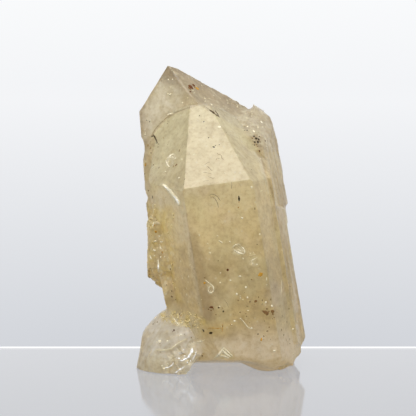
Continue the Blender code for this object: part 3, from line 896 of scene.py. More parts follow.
def flush(rows, lift=0.0, seed=0, rough=0.28, scale=1.0, thick=0.13):
    """Grains in the surface: (frame x, frame y, wide px, tall px, tilt in degrees)."""
    parts = []
    for i, (fx, fy, wide, tall, tilt) in enumerate(rows):
        at, normal = skin(fx, fy)
        if at is None:
            continue
        w, t = wide * PX * scale, tall * PX * scale
        parts.append(draped(at, normal, w, t, thick, math.radians(tilt), i + seed, rough, 3 if max(w, t) > 0.8 else 2, lift))
    return parts


def stroke(path, width, lift=0.0, half=0.06, seed=0, ragged=0.3):
    """A thin closed ribbon lying in the surface along a line drawn in the frame, width in px."""
    pts = np.array(path, float)
    steps = np.linalg.norm(np.diff(pts, axis=0), axis=1)
    marks = np.concatenate([[0], np.cumsum(steps)])
    count = max(4, int(marks[-1] / 0.8) + 1)
    at = np.linspace(0, marks[-1], count)
    xs, ys = np.interp(at, marks, pts[:, 0]), np.interp(at, marks, pts[:, 1])
    spots = [skin(x, y) for x, y in zip(xs, ys)]
    spots = [(a, n) for a, n in spots if a is not None]
    if len(spots) < 3:
        return []
    c = np.array([a for a, n in spots])
    if np.linalg.norm(np.diff(c, axis=0), axis=1).max() > 1.8:
        return []
    k = len(c)
    rings = []
    for i in range(k):
        t = c[min(i + 1, k - 1)] - c[max(i - 1, 0)]
        n = spots[i][1]
        b = np.cross(n, t)
        b /= max(np.linalg.norm(b), 1e-9)
        taper = math.sin(math.pi * (0.12 + 0.76 * i / (k - 1))) ** 0.6
        w = width * PX / 2 * taper * (1 + ragged * lattice(i, seed, 3, 17))
        ring = []
        for a in np.arange(6) * math.pi / 3:
            q = c[i] + b * math.cos(a) * w
            hit = worn_tree.ray_cast(Vector((q + n * 0.9) * MM), Vector(-n), 1.8 * MM)[0]
            h = 0.9 - (hit - Vector((q + n * 0.9) * MM)).length * 1000 if hit is not None else 0.0
            ring.append(q + n * (min(max(h, -0.5), 0.5) + lift + math.sin(a) * half))
        rings.append(ring)
    v = np.array(rings).reshape(-1, 3)
    f = [tuple(range(5, -1, -1)), tuple(range((k - 1) * 6, k * 6))]
    for i in range(k - 1):
        for j in range(6):
            a, b = i * 6 + j, i * 6 + (j + 1) % 6
            f.append((a, b, b + 6, a + 6))
    return [(v, f)]


def strokes(rows, seed=0, scale=1.0, **options):
    parts = []
    for i, (width, path) in enumerate(rows):
        parts += stroke(path, width * scale, seed=seed + i, **options)
    return parts


def scattered(count, seed, low, high, allow, lift=0.02, squash=0.5):
    """Grains of random size, low to high mm, flush with the surface, all round the crystal."""
    parts = []
    total = np.cumsum(allow * (P[:, 2] > 0.4))
    for tries in range(count):
        place = (chance(tries, seed) + chance(tries, seed + 1) / 65536) / 1.00002
        i = int(np.searchsorted(total, place * total[-1]))
        size = low * (high / low) ** (chance(tries, seed + 2) ** 2)
        parts.append(draped(P[i], NW[i], size * (1 + 0.8 * chance(tries, seed + 3)), size, 0.10 + squash * 0.1,
                            6.28 * chance(tries, seed + 4), tries, 0.35, 1, lift))
    return parts


def sealed(count, seed, low, high, allow, shallow, deep):
    """Grains sealed in the quartz, from shallow to deep mm under the surface."""
    parts, tries = [], 0
    while len(parts) < count and tries < count * 30:
        tries += 1
        i = int(chance(tries, seed) * (len(P) - 1))
        if chance(tries, seed + 1) > allow[i]:
            continue
        depth = shallow + (deep - shallow) * chance(tries, seed + 5)
        n = NW[i]
        start = Vector((P[i] - n * 0.05) * MM)
        hit = worn_tree.ray_cast(start, Vector(-n))
        if hit[0] is None or (hit[0] - start).length * 1000 < depth * 1.6 + 0.6:
            continue
        size = low * (high / low) ** (chance(tries, seed + 2) ** 2)
        at = P[i] - n * depth
        if at[2] < 0.6:
            continue
        parts.append(grain(at, n, size * 1.4, size, size, 6.28 * chance(tries, seed + 4), tries, 0.3, 1))
    return parts


ALL = np.ones(len(P))
NOT_FOOT = 1 - 0.75 * foot
low_right = np.exp(-(((FX - 266) / 16) ** 2 + ((FY - 316) / 20) ** 2)) * FACING
low_front = smoothstep(255, 300, FY) * FACING * NOT_FOOT

PALE_STROKES = [
    # flake on the front face
    (1.1, [(232.3, 248.2), (233.6, 246), (236, 244.6), (238.4, 244.1), (240.6, 245.6)]),
    (1.6, [(233.6, 249.8), (236.5, 251.6), (239.8, 253.2), (243.6, 254)]),
    (1.3, [(244.2, 253.6), (244.9, 251.4), (243.4, 248.6), (241.4, 246.6)]),
    (1.0, [(236.6, 249.6), (239.4, 250.2), (242, 252)]),
    # short flakes near it
    (1.2, [(218.6, 240.4), (220.6, 241.5), (222.8, 243)]),
    (1.0, [(250.6, 261.2), (253.4, 259.6), (257, 257.6)]),
    # ringed flake lower left of the middle
    (1.0, [(205.4, 280), (207.4, 281.8), (209, 283.4)]),
    (1.6, [(209.4, 283.2), (211.6, 285.2), (213.4, 287.2), (213.8, 290.2)]),
    (1.3, [(213.6, 290.6), (211.4, 292.9), (208.9, 292.2), (208.1, 290)]),
    (1.0, [(208.3, 289.6), (208.9, 287.6), (210.4, 286.4)]),
    # hooked flake on the left tip face
    (2.2, [(174.4, 154.4), (171.6, 154.6), (169.2, 156.6), (167, 159.2)]),
    (1.9, [(166, 160.4), (166.4, 163.2), (168, 165.6), (169.6, 167)]),
    (1.4, [(169.8, 158.4), (171.4, 157.2), (173.6, 157.4)]),
    (1.2, [(151.9, 168.8), (153.8, 167.2), (156.2, 165.4)]),
    # rim flake, and the painted highlight streak where the left prism face steps down
    (1.6, [(167.2, 114.9), (169.6, 114.2), (173.6, 112.9)]),
    (4.6, [(162.4, 184.4), (165.7, 187), (169.5, 190.6), (173.4, 195.3), (176.4, 199)]),
    (7.5, [(171.6, 194.2), (175.2, 198.4), (177.4, 201.6), (179.4, 205.4)]),
    # upper edges of the pale facet under the body
    (1.3, [(212.6, 360.6), (216, 356.4), (220.4, 351.6), (224, 347.6)]),
    (1.2, [(223.4, 347.6), (226.6, 350.6), (229.8, 353.6), (233, 356.8)]),
    (2.6, [(222.2, 349.6), (220.4, 352.4), (218.4, 355), (216.4, 357)]),
    (2.2, [(222.8, 350.6), (225.4, 353.2), (228.2, 355.6), (230.6, 357.2)]),
    (1.8, [(219, 357.4), (222.4, 355.8), (226.2, 357), (229, 358)]),
    # side block: painted highlights on its small facets, the long stroke a glint
    (2.0, [(158.2, 259.6), (158.5, 264), (158.4, 272.4)]),
    (0.9, [(162.4, 272.4), (161, 274.6), (159.4, 276.6)]),
    (1.4, [(153.2, 241.3), (156.8, 241)]),
    (1.4, [(159.6, 241.9), (163, 241.6)]),
    (1.2, [(159.4, 244), (160.6, 247.4), (161.4, 249.6)]),
    (2.2, [(153.2, 249.4), (154.6, 250.9), (155.8, 250)]),
    (1.5, [(149.9, 255.6), (150.6, 257.8), (151.6, 259.6)]),
    (1.0, [(152.2, 226.6), (153.4, 224.6), (154.2, 222.2)]),
    # foot: the ledge with its painted highlight, ribs and rim
    (0.8, [(155.7, 350.2), (160, 350.4), (165.8, 350), (171.6, 348.6), (176, 345), (179.9, 342.2), (185.6, 339.3)]),
    (0.9, [(189.5, 346), (193.9, 342.9), (198, 341.8), (201.6, 341.6), (205.4, 339.7)]),
    (0.7, [(147.5, 359), (149.5, 354), (152, 349.5)]),
    (1.4, [(172.9, 317.4), (174.4, 319.6), (176, 321.8), (178.6, 325)]),
    (1.1, [(178.6, 325), (181, 323), (183.7, 321.2)]),
    (0.9, [(240.5, 318.5), (244, 322), (248, 327.5), (251, 328.5)]),
    (0.9, [(266.6, 277.4), (266.7, 281.4)]),
    (0.9, [(281.2, 280), (281.3, 293)]),
]
PALE_DOTS = [
    (170.4, 155.6, 3.6, 2.8, 20), (175.4, 158.4, 3.0, 2.4, 0), (168, 162, 2.0, 2.8, 0), (172.6, 163.6, 2.2, 1.6, 20), (182, 159.2, 2.2, 1.8, 0), (194, 154.4, 2.4, 2.2, 0), (178.8, 178, 2, 2, 0),
    (219.8, 127, 4.2, 2.4, 0), (182.4, 102.8, 2.2, 2.0, 0), (204.8, 98.4, 2.5, 2.2, 20), (172.5, 79.3, 2.2, 1.9, 30),
    (170.4, 87.3, 1.7, 1.1, 0), (164.4, 87.6, 1.8, 0.9, 0), (193.1, 90.6, 1.8, 1.4, 40), (147, 98.4, 1.1, 2.2, 20),
    (185, 83, 1.2, 1.2, 0), (261.6, 122, 2.0, 4.2, 10), (262.8, 127, 1.9, 2.2, 0), (247.3, 126.6, 2.8, 3.2, 0),
    (253.8, 131.2, 2.6, 3.6, 30), (258.2, 127.4, 2.2, 2.6, 0), (247, 118, 3.0, 1.3, 0), (231.3, 130.6, 1.6, 2.6, 0),
    (212, 105, 3.0, 2.2, 0), (251.6, 187, 1.6, 2.8, 30), (265, 198.3, 1.6, 1.5, 0), (242, 218, 2.6, 1.8, 0),
    (259.8, 234.4, 2.0, 2.3, 0), (272.5, 240.2, 1.3, 1.4, 0), (209.8, 252.8, 1.9, 1.6, 0), (217.5, 236, 1.8, 1.4, 0),
    (252.2, 263.3, 2.8, 1.3, 0), (256.8, 264.3, 1.7, 1.3, 30), (243, 258.5, 1.4, 2.4, 0), (250, 253.5, 1.3, 1.1, 0),
    (253.4, 252.4, 1.1, 1.0, 0), (255, 254.6, 1.2, 0.9, 0), (248.6, 251.6, 0.9, 0.8, 0), (180.5, 261.4, 1.6, 1.9, 0),
    (190, 265.2, 1.3, 1.7, 0), (188.4, 276.8, 1.6, 1.8, 0), (182.6, 278.2, 1.8, 1.5, 0), (186.7, 294.5, 1.6, 2.3, 0),
    (188.1, 302, 2.0, 1.6, 20), (175.6, 287.8, 1.6, 1.6, 0), (220.2, 282.6, 2.0, 1.2, 0), (220.4, 272.8, 1.8, 1.3, 0),
    (230.2, 280.4, 2.6, 1.5, 0), (240, 276.2, 3.0, 1.5, 0), (236.5, 293.8, 2.0, 2.8, 10), (245.8, 287.4, 2.6, 1.6, 30),
    (240.5, 298, 1.6, 1.2, 0), (247.4, 297.4, 1.6, 2.0, 30), (243, 299.6, 1.2, 1.0, 0), (265.8, 302.2, 2.6, 2.3, 30),
    (272, 306, 2.0, 2.6, 0), (266.8, 284.8, 1.5, 1.3, 0), (248, 310.4, 2.6, 1.2, 0), (240.6, 318.6, 1.8, 1.4, 0),
    (234.6, 321, 2.8, 1.6, 0), (251.6, 328, 2.2, 1.8, 0), (274.2, 350.6, 3.6, 1.1, 15), (221.4, 359.3, 2.8, 1.1, 0),
    (160.6, 257, 1.8, 2.0, 0), (154.2, 255.8, 1.4, 1.4, 0), (159.2, 236.2, 2.0, 1.6, 30), (164.5, 256.8, 1.6, 1.2, 0),
    (163.3, 317.4, 3.0, 2.0, 30), (159.5, 341.2, 3.2, 2.4, 20), (167.4, 341, 2.6, 1.8, 0), (181, 335, 2.4, 1.4, 0),
    (156.5, 342, 1.6, 1.2, 0), (175.5, 345.4, 1.3, 1.1, 0), (177, 350, 2.0, 1.0, 30), (167.8, 364, 2.4, 2.4, 30),
    (164, 368.6, 4.4, 2.2, 0), (162, 366, 2.0, 2.0, 0), (200.6, 340.4, 2.0, 1.2, 0),
]
GLINTS = [
    (191.6, 351.4, 2.0, 4.4, -14), (188.7, 357.2, 2.6, 2.0, 40), (185.9, 358.9, 2.0, 1.2, 0), (184.8, 356.2, 1.2, 1.8, 0),
    (181.2, 360.7, 2.4, 1.4, 0), (178.9, 358.4, 2.0, 1.6, 30), (183.6, 349.8, 1.6, 1.3, 0), (179.9, 369.6, 3.8, 1.3, 25),
    (176.4, 372, 2.4, 1.1, 30), (187.2, 362.6, 1.2, 2.0, 20), (190.4, 361, 1.2, 1.6, 0), (176.6, 358.2, 1.0, 1.0, 0),
    (175.4, 345.2, 1.0, 0.9, 0), (158.3, 266, 1.3, 7.0, 0),
]
GLINT_STROKES = [
    (2.6, [(173.6, 195.8), (175.8, 198.6), (177.4, 201), (178.6, 203.6)]),
    (1.1, [(164, 185.8), (166.6, 188.2), (169, 190.6)]),
    (2.4, [(192.4, 348), (191.6, 351.6), (189.4, 355.6), (187.4, 358.4)]),
    (1.6, [(187, 358.2), (184.6, 359.2), (182, 360.8)]),
    (1.2, [(184.4, 366.4), (182, 368.4), (178.4, 370.4), (175.4, 372.6)]),
    (1.0, [(173.6, 362.6), (171.6, 365.6), (168.4, 367.4), (164.6, 368)]),
    (0.8, [(196.4, 349.6), (195.4, 354.4), (192.6, 360)]),
    (0.8, [(178, 352.4), (180.8, 353.6), (183.4, 352.8)]),
]
DARK_STROKES = [
    (2.0, [(209.1, 109.7), (212.6, 112), (216.4, 114.8), (219.9, 117.4)]),
    (1.5, [(214.9, 110.2), (216.2, 112), (217.8, 114.4), (219, 117)]),
    (1.0, [(212.8, 110.6), (214.6, 113), (216.6, 116)]),
    (1.4, [(151.4, 136.6), (153.4, 135.6), (155.2, 137.4), (156.2, 140), (157.4, 143.4)]),
    (1.0, [(153, 134.2), (154.6, 136.4), (155, 139)]),
]
GREY_STROKES = [
    # the seam round the rim of the front crystal
    (0.7, [(151.6, 136.4), (153.4, 132), (155.5, 128.8), (158.6, 125)]),
    (0.6, [(159.4, 124.2), (163.4, 120.4), (168.3, 116.2), (171.4, 114.4)]),
    (0.5, [(174.8, 112.8), (181, 110.4), (187.4, 108.2)]),
    (0.5, [(203.8, 106), (206.4, 107.4), (208.8, 109.4)]),
    (0.7, [(209, 195.5), (211.5, 194.2), (214.4, 194.4), (217.4, 196.4), (220.4, 200.6)]),
    (0.7, [(210.2, 198), (212.6, 197.1), (215.2, 198.6), (217.4, 202.6), (218.6, 207.4)]),
    (0.6, [(217, 153), (218.6, 154.6), (221, 155), (221.8, 156.6), (221.4, 158.6)]),
    (0.6, [(215.8, 159.8), (217.6, 157.8), (219, 158.8), (220.2, 158.6)]),
    (0.45, [(221.8, 157.6), (223.6, 159.8)]),
    (0.6, [(207.2, 166), (209.6, 168.2), (211.8, 170.8)]),
    (0.45, [(203.2, 172.4), (206.6, 172.6), (209, 173.2), (211.4, 173.6)]),
    (0.5, [(208, 176.6), (210.4, 177.2), (212.6, 178.4), (214.6, 177.6)]),
    (0.45, [(204.6, 164.6), (207.2, 163), (209.4, 161.8)]),
    (0.55, [(231.7, 182), (231.9, 185), (231.4, 188.6)]),
    (0.4, [(203, 181.4), (206, 180.8), (209, 180.6)]),
    (0.6, [(151.4, 150), (151.6, 154), (152.6, 158.6), (153.8, 161)]),
    (0.45, [(148.6, 157), (150.6, 158.6), (153, 162)]),
    (0.5, [(233.8, 247.6), (236, 246.4), (238.2, 246.8), (239, 248.2)]),
    (0.5, [(209.4, 290.6), (210.8, 289.2), (212.2, 290.4), (211.2, 291.6)]),
    (0.4, [(224, 299), (227, 303), (229, 308)]),
    (0.5, [(246.8, 255.4), (250.6, 256.6), (254.8, 255.4)]),
]
MICA = [
    (152.5, 197, 1.3, 2.8, 0), (239, 198.4, 1.7, 5.2, 3), (210.8, 333, 4.2, 2.3, 20), (203.4, 330.6, 1.9, 2.8, 20),
    (223.4, 311.4, 1.8, 1.8, 0), (213.8, 147, 2.5, 1.5, -25), (215.4, 145.4, 1.0, 0.9, 0), (208.5, 137.6, 1.3, 1.2, 0),
    (219.3, 144.7, 1.2, 0.9, 0), (203.8, 121.6, 1.1, 1.5, 0), (199.6, 115.6, 0.9, 1.4, 0), (247.1, 130.2, 1.6, 1.3, 30),
    (244.4, 130.4, 1.0, 0.8, 0), (258.6, 139.4, 1.9, 2.8, 20), (254.8, 142.2, 2.4, 2.2, 0), (152.2, 136.4, 2.2, 2.0, 30),
    (154.4, 136.8, 1.6, 1.4, 0), (155.3, 139.8, 1.0, 2.6, -30), (157, 142.6, 1.3, 2.2, -30), (218.6, 307.6, 1.4, 1.6, 0),
    (149.6, 121.6, 1.1, 1.3, 0), (146.6, 120.2, 0.9, 0.9, 0),
    (256.2, 138.4, 3.0, 2.4, 0), (257.8, 141.8, 2.2, 2.8, 20), (254, 136.4, 2.2, 1.6, 0), (259.4, 136.6, 1.5, 1.5, 0), (254.4, 145, 1.3, 1.6, 0),
]
SMOKE = [
    (252.4, 138, 2.4, 2.2, 0), (256.2, 139, 2.0, 2.0, 0), (256.6, 144.6, 2.2, 2.0, 0), (253, 141, 1.6, 1.4, 0), (260, 142, 1.6, 2.2, 20),
    (257.6, 146.4, 1.6, 1.6, 0), (148, 145.4, 2.4, 2.4, 0), (150.4, 148, 1.8, 1.8, 30), (158.6, 144, 1.8, 1.2, 0), (158, 147, 1.6, 1.4, 0),
    (151, 153, 1.4, 2.2, 0), (179.5, 150.4, 1.9, 4.0, 0), (173.4, 166.2, 1.8, 2.4, 20), (153.6, 164.6, 1.4, 2.0, 0), (159, 167.6, 1.7, 2.2, 0),
    (145.6, 164, 1.6, 4.6, 0), (144.2, 153, 1.0, 2.4, 0), (148.7, 190.4, 1.6, 2.0, 0), (190, 331, 1.0, 1.0, 0), (231.4, 325, 2.6, 1.7, -30),
    (240.2, 312.2, 2.0, 1.7, 0), (250, 301.6, 2.2, 1.8, 20), (247.2, 306.3, 1.6, 1.4, 0), (249, 306.6, 1.2, 1.0, 0), (258.6, 297.2, 1.6, 1.6, 0),
    (262.4, 300.4, 1.4, 2.2, 0), (262.2, 304, 1.2, 1.2, 0), (270.8, 299.6, 1.3, 2.2, 0), (267, 309, 1.9, 1.6, 0), (238.4, 300.2, 1.9, 1.3, 0),
    (251.8, 279.4, 2.0, 1.4, 0), (258, 334.2, 2.2, 1.6, 30), (263.8, 336, 1.5, 2.0, 20), (267.2, 331, 2.0, 2.0, 0), (269.4, 327, 1.5, 1.6, 0),
    (281.4, 329.8, 1.6, 2.8, 0), (283.8, 335, 2.0, 1.5, 0), (289.6, 339, 1.6, 1.4, 0), (289.8, 343.4, 1.5, 1.1, 0), (282.2, 315.6, 1.6, 1.6, 0),
    (289, 308.6, 1.8, 1.8, 0), (280, 306, 1.3, 1.8, 0), (286.9, 322, 1.2, 3.0, 0), (219.3, 307.4, 1.5, 1.4, 0), (222.7, 326.2, 1.3, 2.8, 0),
    (196.5, 314.8, 1.3, 1.6, 0), (186.3, 319.3, 1.4, 2.4, 0), (192.8, 325.8, 1.8, 2.2, 20), (194.6, 326.6, 1.6, 1.3, 0), (179.4, 314, 2.6, 1.8, 30),
    (171.8, 296.6, 2.0, 2.8, 30), (171.6, 291.2, 1.6, 1.6, 0), (160.3, 352, 1.1, 1.1, 0), (160, 343.4, 1.2, 1.2, 0), (191.4, 337.6, 1.4, 1.6, 0),
    (153, 324, 2.4, 1.4, 20), (157.4, 322, 1.8, 1.2, 0), (170.4, 269.2, 1.8, 2.0, 30), (257.2, 244.4, 1.6, 1.2, 0), (255, 208.6, 1.4, 2.6, 0),
    (153.4, 276.4, 1.2, 1.2, 0), (166, 303, 1.6, 1.2, 0), (175.6, 299.6, 1.2, 1.0, 0), (204.7, 277.4, 1.8, 1.5, 0), (188, 325.6, 1.8, 1.0, 0),
    (264.6, 321, 1.2, 1.2, 0), (246, 313.6, 1.0, 1.2, 0), (272.4, 318.6, 1.0, 1.4, 0), (277, 312, 1.1, 1.3, 0), (254.6, 304, 1.0, 1.0, 0),
]
RED = [
    (190.8, 87.0, 5.0, 6.0, 0), (193.6, 85.2, 3.0, 3.8, 0), (190.4, 91.6, 2.4, 1.6, 0), (227.7, 269.8, 2.4, 2.5, 0), (174.1, 330.2, 1.7, 1.9, 30),
    (172.9, 331.6, 1.2, 0.9, 30), (211.4, 307.2, 3.8, 2.2, 0), (213.2, 308.8, 1.4, 1.2, 0), (208.6, 309.2, 1.2, 1.2, 0), (259.4, 151, 1.9, 2.0, 30),
]
EARTH = [
    (189.6, 88.4, 2.6, 3.4, 0), (194.6, 87.2, 1.6, 2.4, 0),
    (265.8, 312.4, 6.2, 4.4, -30), (264, 311, 3.8, 1.8, -10), (272.6, 311.4, 4.2, 3.0, 0), (272.8, 314, 1.5, 2.2, 0), (266.8, 308.8, 1.7, 1.4, 0),
    (269, 311.3, 1.2, 1.0, 0), (211.2, 310.3, 1.4, 1.4, 0), (216, 314.6, 1.2, 0.9, 0), (255.8, 301.2, 3.4, 1.8, 20), (176.2, 165, 3.2, 1.6, 40),
]
ORANGE = [
    (260.4, 274.2, 4.8, 3.9, 30), (258.9, 275.3, 2.4, 1.8, 0), (261.3, 339.6, 1.9, 3.2, -20), (197.2, 88.4, 4.2, 4.0, 30),
    (204.6, 283, 2.2, 2.2, 0), (239, 202, 1.0, 1.2, 0), (238.4, 207.3, 1.2, 1.3, 0), (155.9, 231.8, 2.6, 2.2, 30), (154.4, 225.6, 1.0, 1.6, 0),
    (145.6, 164.6, 1.4, 4.2, 0), (231, 324.4, 1.2, 1.0, 0), (162.4, 252.6, 1.3, 2.6, 30),
]
ORANGE_STROKES = [(0.7, [(208, 328.2), (213, 328), (217, 328.4), (222.4, 327.9)]), (0.6, [(222.2, 324), (222.6, 328), (222, 332)])]

pale = grain_material("pale_flake", (0.74, 0.64, 0.40), (0.92, 0.86, 0.66), 1800.0, 0.4)
glint = grain_material("glint", (0.95, 0.94, 0.88), (0.985, 0.98, 0.955), 1500.0, 0.22)
black = grain_material("mica_black", (0.020, 0.013, 0.006), (0.075, 0.052, 0.024), 3000.0, 0.6, 0.15)
smoke = grain_material("smoky_grain", (0.20, 0.13, 0.055), (0.42, 0.31, 0.15), 2600.0, 0.65, 0.15)
line = grain_material("crack_line", (0.30, 0.225, 0.115), (0.50, 0.40, 0.235), 2600.0, 0.6, 0.2)
soft = grain_material("pale_streak", (0.69, 0.60, 0.39), (0.88, 0.80, 0.575), 1700.0, 0.5, 0.3)
red = grain_material("iron_red", (0.055, 0.018, 0.006), (0.20, 0.075, 0.026), 3000.0, 0.65, 0.1)
earth = grain_material("iron_brown", (0.12, 0.058, 0.018), (0.29, 0.16, 0.055), 2500.0, 0.6, 0.2)
orange = grain_material("iron_orange", (0.36, 0.17, 0.018), (0.60, 0.33, 0.05), 2500.0, 0.6, 0.2)
gold = grain_material("golden_crust", (0.52, 0.38, 0.13), (0.88, 0.76, 0.42), 1600.0, 0.55)

pale_allow = NOT_FOOT * (0.35 + 0.65 * clouds(9.0, -0.2, 0.5, 501)) * (0.5 + 0.5 * smoothstep(75, 30, P[:, 2]))
smoke_allow = 0.10 + 0.9 * np.maximum(low_right, 0.5 * low_front * clouds(5.0, 0.1, 0.7, 511))
smoke_allow = np.maximum(smoke_allow, 0.6 * smoothstep(34, 14, P[:, 2]) * smoothstep(-0.1, 0.4, N[:, 1]) * NOT_FOOT)
smoke_allow = np.maximum(smoke_allow, 0.5 * behind * clouds(6.0, 0.2, 0.6, 512))
gold_allow = np.clip(crust + 0.12 * block, 0, 1)
stained = 0.02 + behind * clouds(5.0, 0.3, 0.7, 513)

# pale streaks: flakes, plus painted highlights on the streak, the foot's ledge and the side block's facets
piece("pale_streaks", mesh_from("pale_streaks", strokes(PALE_STROKES, 3, 0.85)), soft)
piece("pale_flakes", mesh_from("pale_flakes", flush(PALE_DOTS, seed=50, rough=0.4, scale=0.85)
                               + scattered(420, 21, 0.14, 0.46, pale_allow) + scattered(100, 27, 0.2, 0.62, above_rim)), pale)
piece("pale_specks_inside", mesh_from("pale_specks_inside", sealed(260, 31, 0.25, 0.8, NOT_FOOT, 0.3, 4.0)), pale)
# glints: painted highlights, near-white flecks and ribbons laid on the surface
piece("glints", mesh_from("glints", flush(GLINTS, 0.03, 90, 0.45) + strokes(GLINT_STROKES, 95, 0.9)), glint)
piece("mica", mesh_from("mica", flush(MICA, seed=10)), black)
piece("smoky_grains", mesh_from("smoky_grains", flush(SMOKE, seed=20, rough=0.4, scale=0.88) + scattered(300, 41, 0.12, 0.36, smoke_allow, 0.0)
                                + sealed(90, 51, 0.2, 0.6, smoke_allow, 0.3, 3.0)), smoke)
piece("crack_lines", mesh_from("crack_lines", strokes(GREY_STROKES, 40, half=0.045)), line)
piece("dark_needles", mesh_from("dark_needles", strokes(DARK_STROKES, 60)), grain_material("needle_brown", (0.05, 0.033, 0.016), (0.16, 0.105, 0.05), 2600.0, 0.6, 0.2))
piece("iron_red", mesh_from("iron_red", flush(RED, 0.03, 30, 0.22) + scattered(10, 73, 0.3, 0.9, stained)), red)
piece("iron_brown", mesh_from("iron_brown", flush(EARTH, 0.02, 34, 0.36) + scattered(26, 75, 0.2, 0.8, stained)), earth)
piece("iron_orange", mesh_from("iron_orange", flush(ORANGE, seed=37, rough=0.36) + strokes(ORANGE_STROKES, 70)
                               + scattered(16, 77, 0.2, 0.7, stained)), orange)
piece("golden_crust", mesh_from("golden_crust", scattered(230, 61, 0.2, 0.7, gold_allow, 0.05, 1.5)), gold)


# veils: healed cracks, thin curved lenses well inside
def veil(centre, normal, wide, tall, bend, seed):
    v, f = BALLS[3]
    n = np.array(normal, float)
    n /= np.linalg.norm(n)
    u, w = across(n, 0.3 * seed)
    a, b = v[:, 0] * wide / 2, v[:, 1] * tall / 2
    h = v[:, 2] * 0.12 + bend * (v[:, 0] ** 2 - 0.6 * v[:, 1] ** 2) + 0.35 * fbm(v + seed, 0.8, 2, seed)
    return np.array(centre) + np.outer(a, u) + np.outer(b, w) + np.outer(h, n), f


VEILS = [
    ((-6.0, 0.0, 52.0), (0.4, -0.8, 0.5), 15, 11, 1.6, 1),
    ((5.0, 2.0, 44.0), (-0.5, -0.7, 0.4), 18, 13, -1.8, 2),
    ((-2.0, 4.0, 66.0), (0.2, -0.8, -0.5), 13, 10, 1.2, 3),
    ((8.0, 3.0, 24.0), (0.6, -0.6, 0.5), 16, 12, 1.5, 4),
    ((0.0, 5.0, 32.0), (-0.2, -0.9, -0.3), 18, 14, -1.4, 5),
    ((-11.0, -1.0, 8.5), (0.5, -0.7, 0.5), 9, 7, 0.8, 6),
]


def inside_only(v):
    """Whether every point lies inside the crystal."""
    for p in v[::3]:
        start = Vector(p * MM)
        for d in ((0, 0, 1), (0, -1, 0), (1, 0, 0)):
            crossings, at = 0, start.copy()
            while crossings < 20:
                hit = worn_tree.ray_cast(at, Vector(d))
                if hit[0] is None:
                    break
                crossings += 1
                at = hit[0] + Vector(d) * 1e-6
            if crossings % 2 == 0:
                return False
    return True


kept = []
for row in VEILS:
    size = 1.0
    for _ in range(5):
        v, f = veil(row[0], row[1], row[2] * size, row[3] * size, row[4] * size, row[5])
        if inside_only(v):
            kept.append((v, f))
            break
        size *= 0.8
print("veils kept:", len(kept))
if kept:
    piece("veils", mesh_from("veils", kept), veil_material("veil", (0.93, 0.89, 0.80), 0.46, 0.72, 330.0, 0.5))


# ------------------------------------------------------------------ stage ----
def stage_mesh(name, verts, faces, mat):
    m = bpy.data.meshes.new(name)
    m.from_pydata([tuple(c * MM for c in v) for v in verts], [], faces)
    m.materials.append(mat)
    ob = bpy.data.objects.new(name, m)
    scene.collection.objects.link(ob)
    return ob


def plate_material():
    mat, nt, out = new_material("plate")
    bsdf = nt.nodes.new("ShaderNodeBsdfPrincipled")
    bsdf.inputs["Base Color"].default_value = (0.05, 0.05, 0.052, 1)
    bsdf.inputs["Roughness"].default_value = 0.09
    bsdf.inputs["IOR"].default_value = 1.36
    bsdf.inputs["Emission Color"].default_value = (0.90, 0.92, 0.98, 1)
    coord = nt.nodes.new("ShaderNodeTexCoord")
    span = nt.nodes.new("ShaderNodeVectorMath")
    span.operation = "LENGTH"
    nt.links.new(coord.outputs["Object"], span.inputs[0])
    # the plate glows, strongest under the crystal and gone by 0.3 m: painted light that fills the crystal's shadow
    nt.links.new(remap(nt, span.outputs["Value"], 0.09, 0.30, 0.36, 0.0), bsdf.inputs["Emission Strength"])
    nt.links.new(bsdf.outputs["BSDF"], out.inputs["Surface"])
    return mat


def sweep_material():
    """A paper sweep that grows lighter with distance, evenly towards its horizon."""
    mat, nt, out = new_material("sweep")
    link = nt.links.new
    glow = nt.nodes.new("ShaderNodeEmission")
    coord = nt.nodes.new("ShaderNodeTexCoord")
    span = nt.nodes.new("ShaderNodeVectorMath")
    span.operation = "LENGTH"
    link(coord.outputs["Object"], span.inputs[0])
    fac = maths(nt, "DIVIDE", 0.2, maths(nt, "ADD", span.outputs["Value"], 0.43), True)
    colour = ramp_node(nt, fac, [(0.03, (0.90, 0.91, 0.93)), (0.40, (0.64, 0.66, 0.70))])
    link(colour, glow.inputs["Color"])
    link(glow.outputs["Emission"], out.inputs["Surface"])
    return mat


# painted highlight: the plate's back edge glows white in place of the bright line it catches
def edge_material():
    mat, nt, out = new_material("plate_edge")
    e = nt.nodes.new("ShaderNodeEmission")
    e.inputs["Color"].default_value = (1, 1, 1, 1)
    e.inputs["Strength"].default_value = 1.1
    nt.links.new(e.outputs["Emission"], out.inputs["Surface"])
    return mat


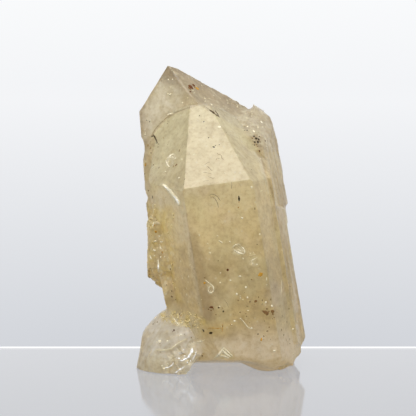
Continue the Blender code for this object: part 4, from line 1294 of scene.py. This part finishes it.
BACK = 27.0
stage_mesh("plate", [(-700, -900, 0), (700, -900, 0), (700, BACK, 0), (-700, BACK, 0),
                     (-700, -900, -4), (700, -900, -4), (700, BACK, -4), (-700, BACK, -4)],
           [(0, 1, 2, 3), (7, 6, 5, 4), (0, 4, 5, 1), (1, 5, 6, 2), (2, 6, 7, 3), (3, 7, 4, 0)],
           plate_material())
stage_mesh("plate_edge", [(-700, BACK - 0.1, 0.02), (700, BACK - 0.1, 0.02), (700, BACK + 0.1, 0.48), (-700, BACK + 0.1, 0.48)],
           [(0, 1, 2, 3)], edge_material())
stage_mesh("sweep", [(-6000, -6000, -4), (6000, -6000, -4), (6000, 6000, -4), (-6000, 6000, -4)],
           [(0, 1, 2, 3)], sweep_material())


def area_light(name, where, aim, size, power, colour=(1, 1, 1)):
    data = bpy.data.lights.new(name, "AREA")
    data.shape, data.size, data.energy, data.color = "SQUARE", size, power, colour
    ob = bpy.data.objects.new(name, data)
    ob.location = Vector(where)
    ob.rotation_euler = (Vector(aim) - Vector(where)).to_track_quat("-Z", "Y").to_euler()
    ob.visible_camera = False
    scene.collection.objects.link(ob)


area_light("overhead", (-0.10, -0.25, 0.75), (0, 0, 0.05), 0.6, 3.4)
area_light("fill", (0.20, -0.95, 0.22), (0, 0, 0.05), 0.8, 1.3)

world = bpy.data.worlds.new("studio")
scene.world = world
world.use_nodes = True
wn = world.node_tree
wn.nodes.clear()
wo = wn.nodes.new("ShaderNodeOutputWorld")
bg = wn.nodes.new("ShaderNodeBackground")
wc = wn.nodes.new("ShaderNodeTexCoord")
ws = wn.nodes.new("ShaderNodeSeparateXYZ")
wn.links.new(wc.outputs["Generated"], ws.inputs["Vector"])
wn.links.new(ramp_node(wn, remap(wn, ws.outputs["Z"], 0.0, 0.07, 0.0, 1.0), [(0.0, (0.90, 0.91, 0.93)), (1.0, (0.96, 0.97, 0.98))]), bg.inputs["Color"])
bg.inputs["Strength"].default_value = 1.0
wn.links.new(bg.outputs["Background"], wo.inputs["Surface"])

scene.view_settings.view_transform = "Standard"
scene.view_settings.look = "None"
scene.cycles.max_bounces = 16
scene.cycles.transmission_bounces = 14
scene.cycles.transparent_max_bounces = 16
scene.cycles.glossy_bounces = 6
scene.cycles.diffuse_bounces = 4
add_camera()

for ob in scene.objects:
    if ob.type == "MESH" and ob.name != "quartz_crystal":
        print("triangles", ob.name, sum(len(p.vertices) - 2 for p in ob.data.polygons))
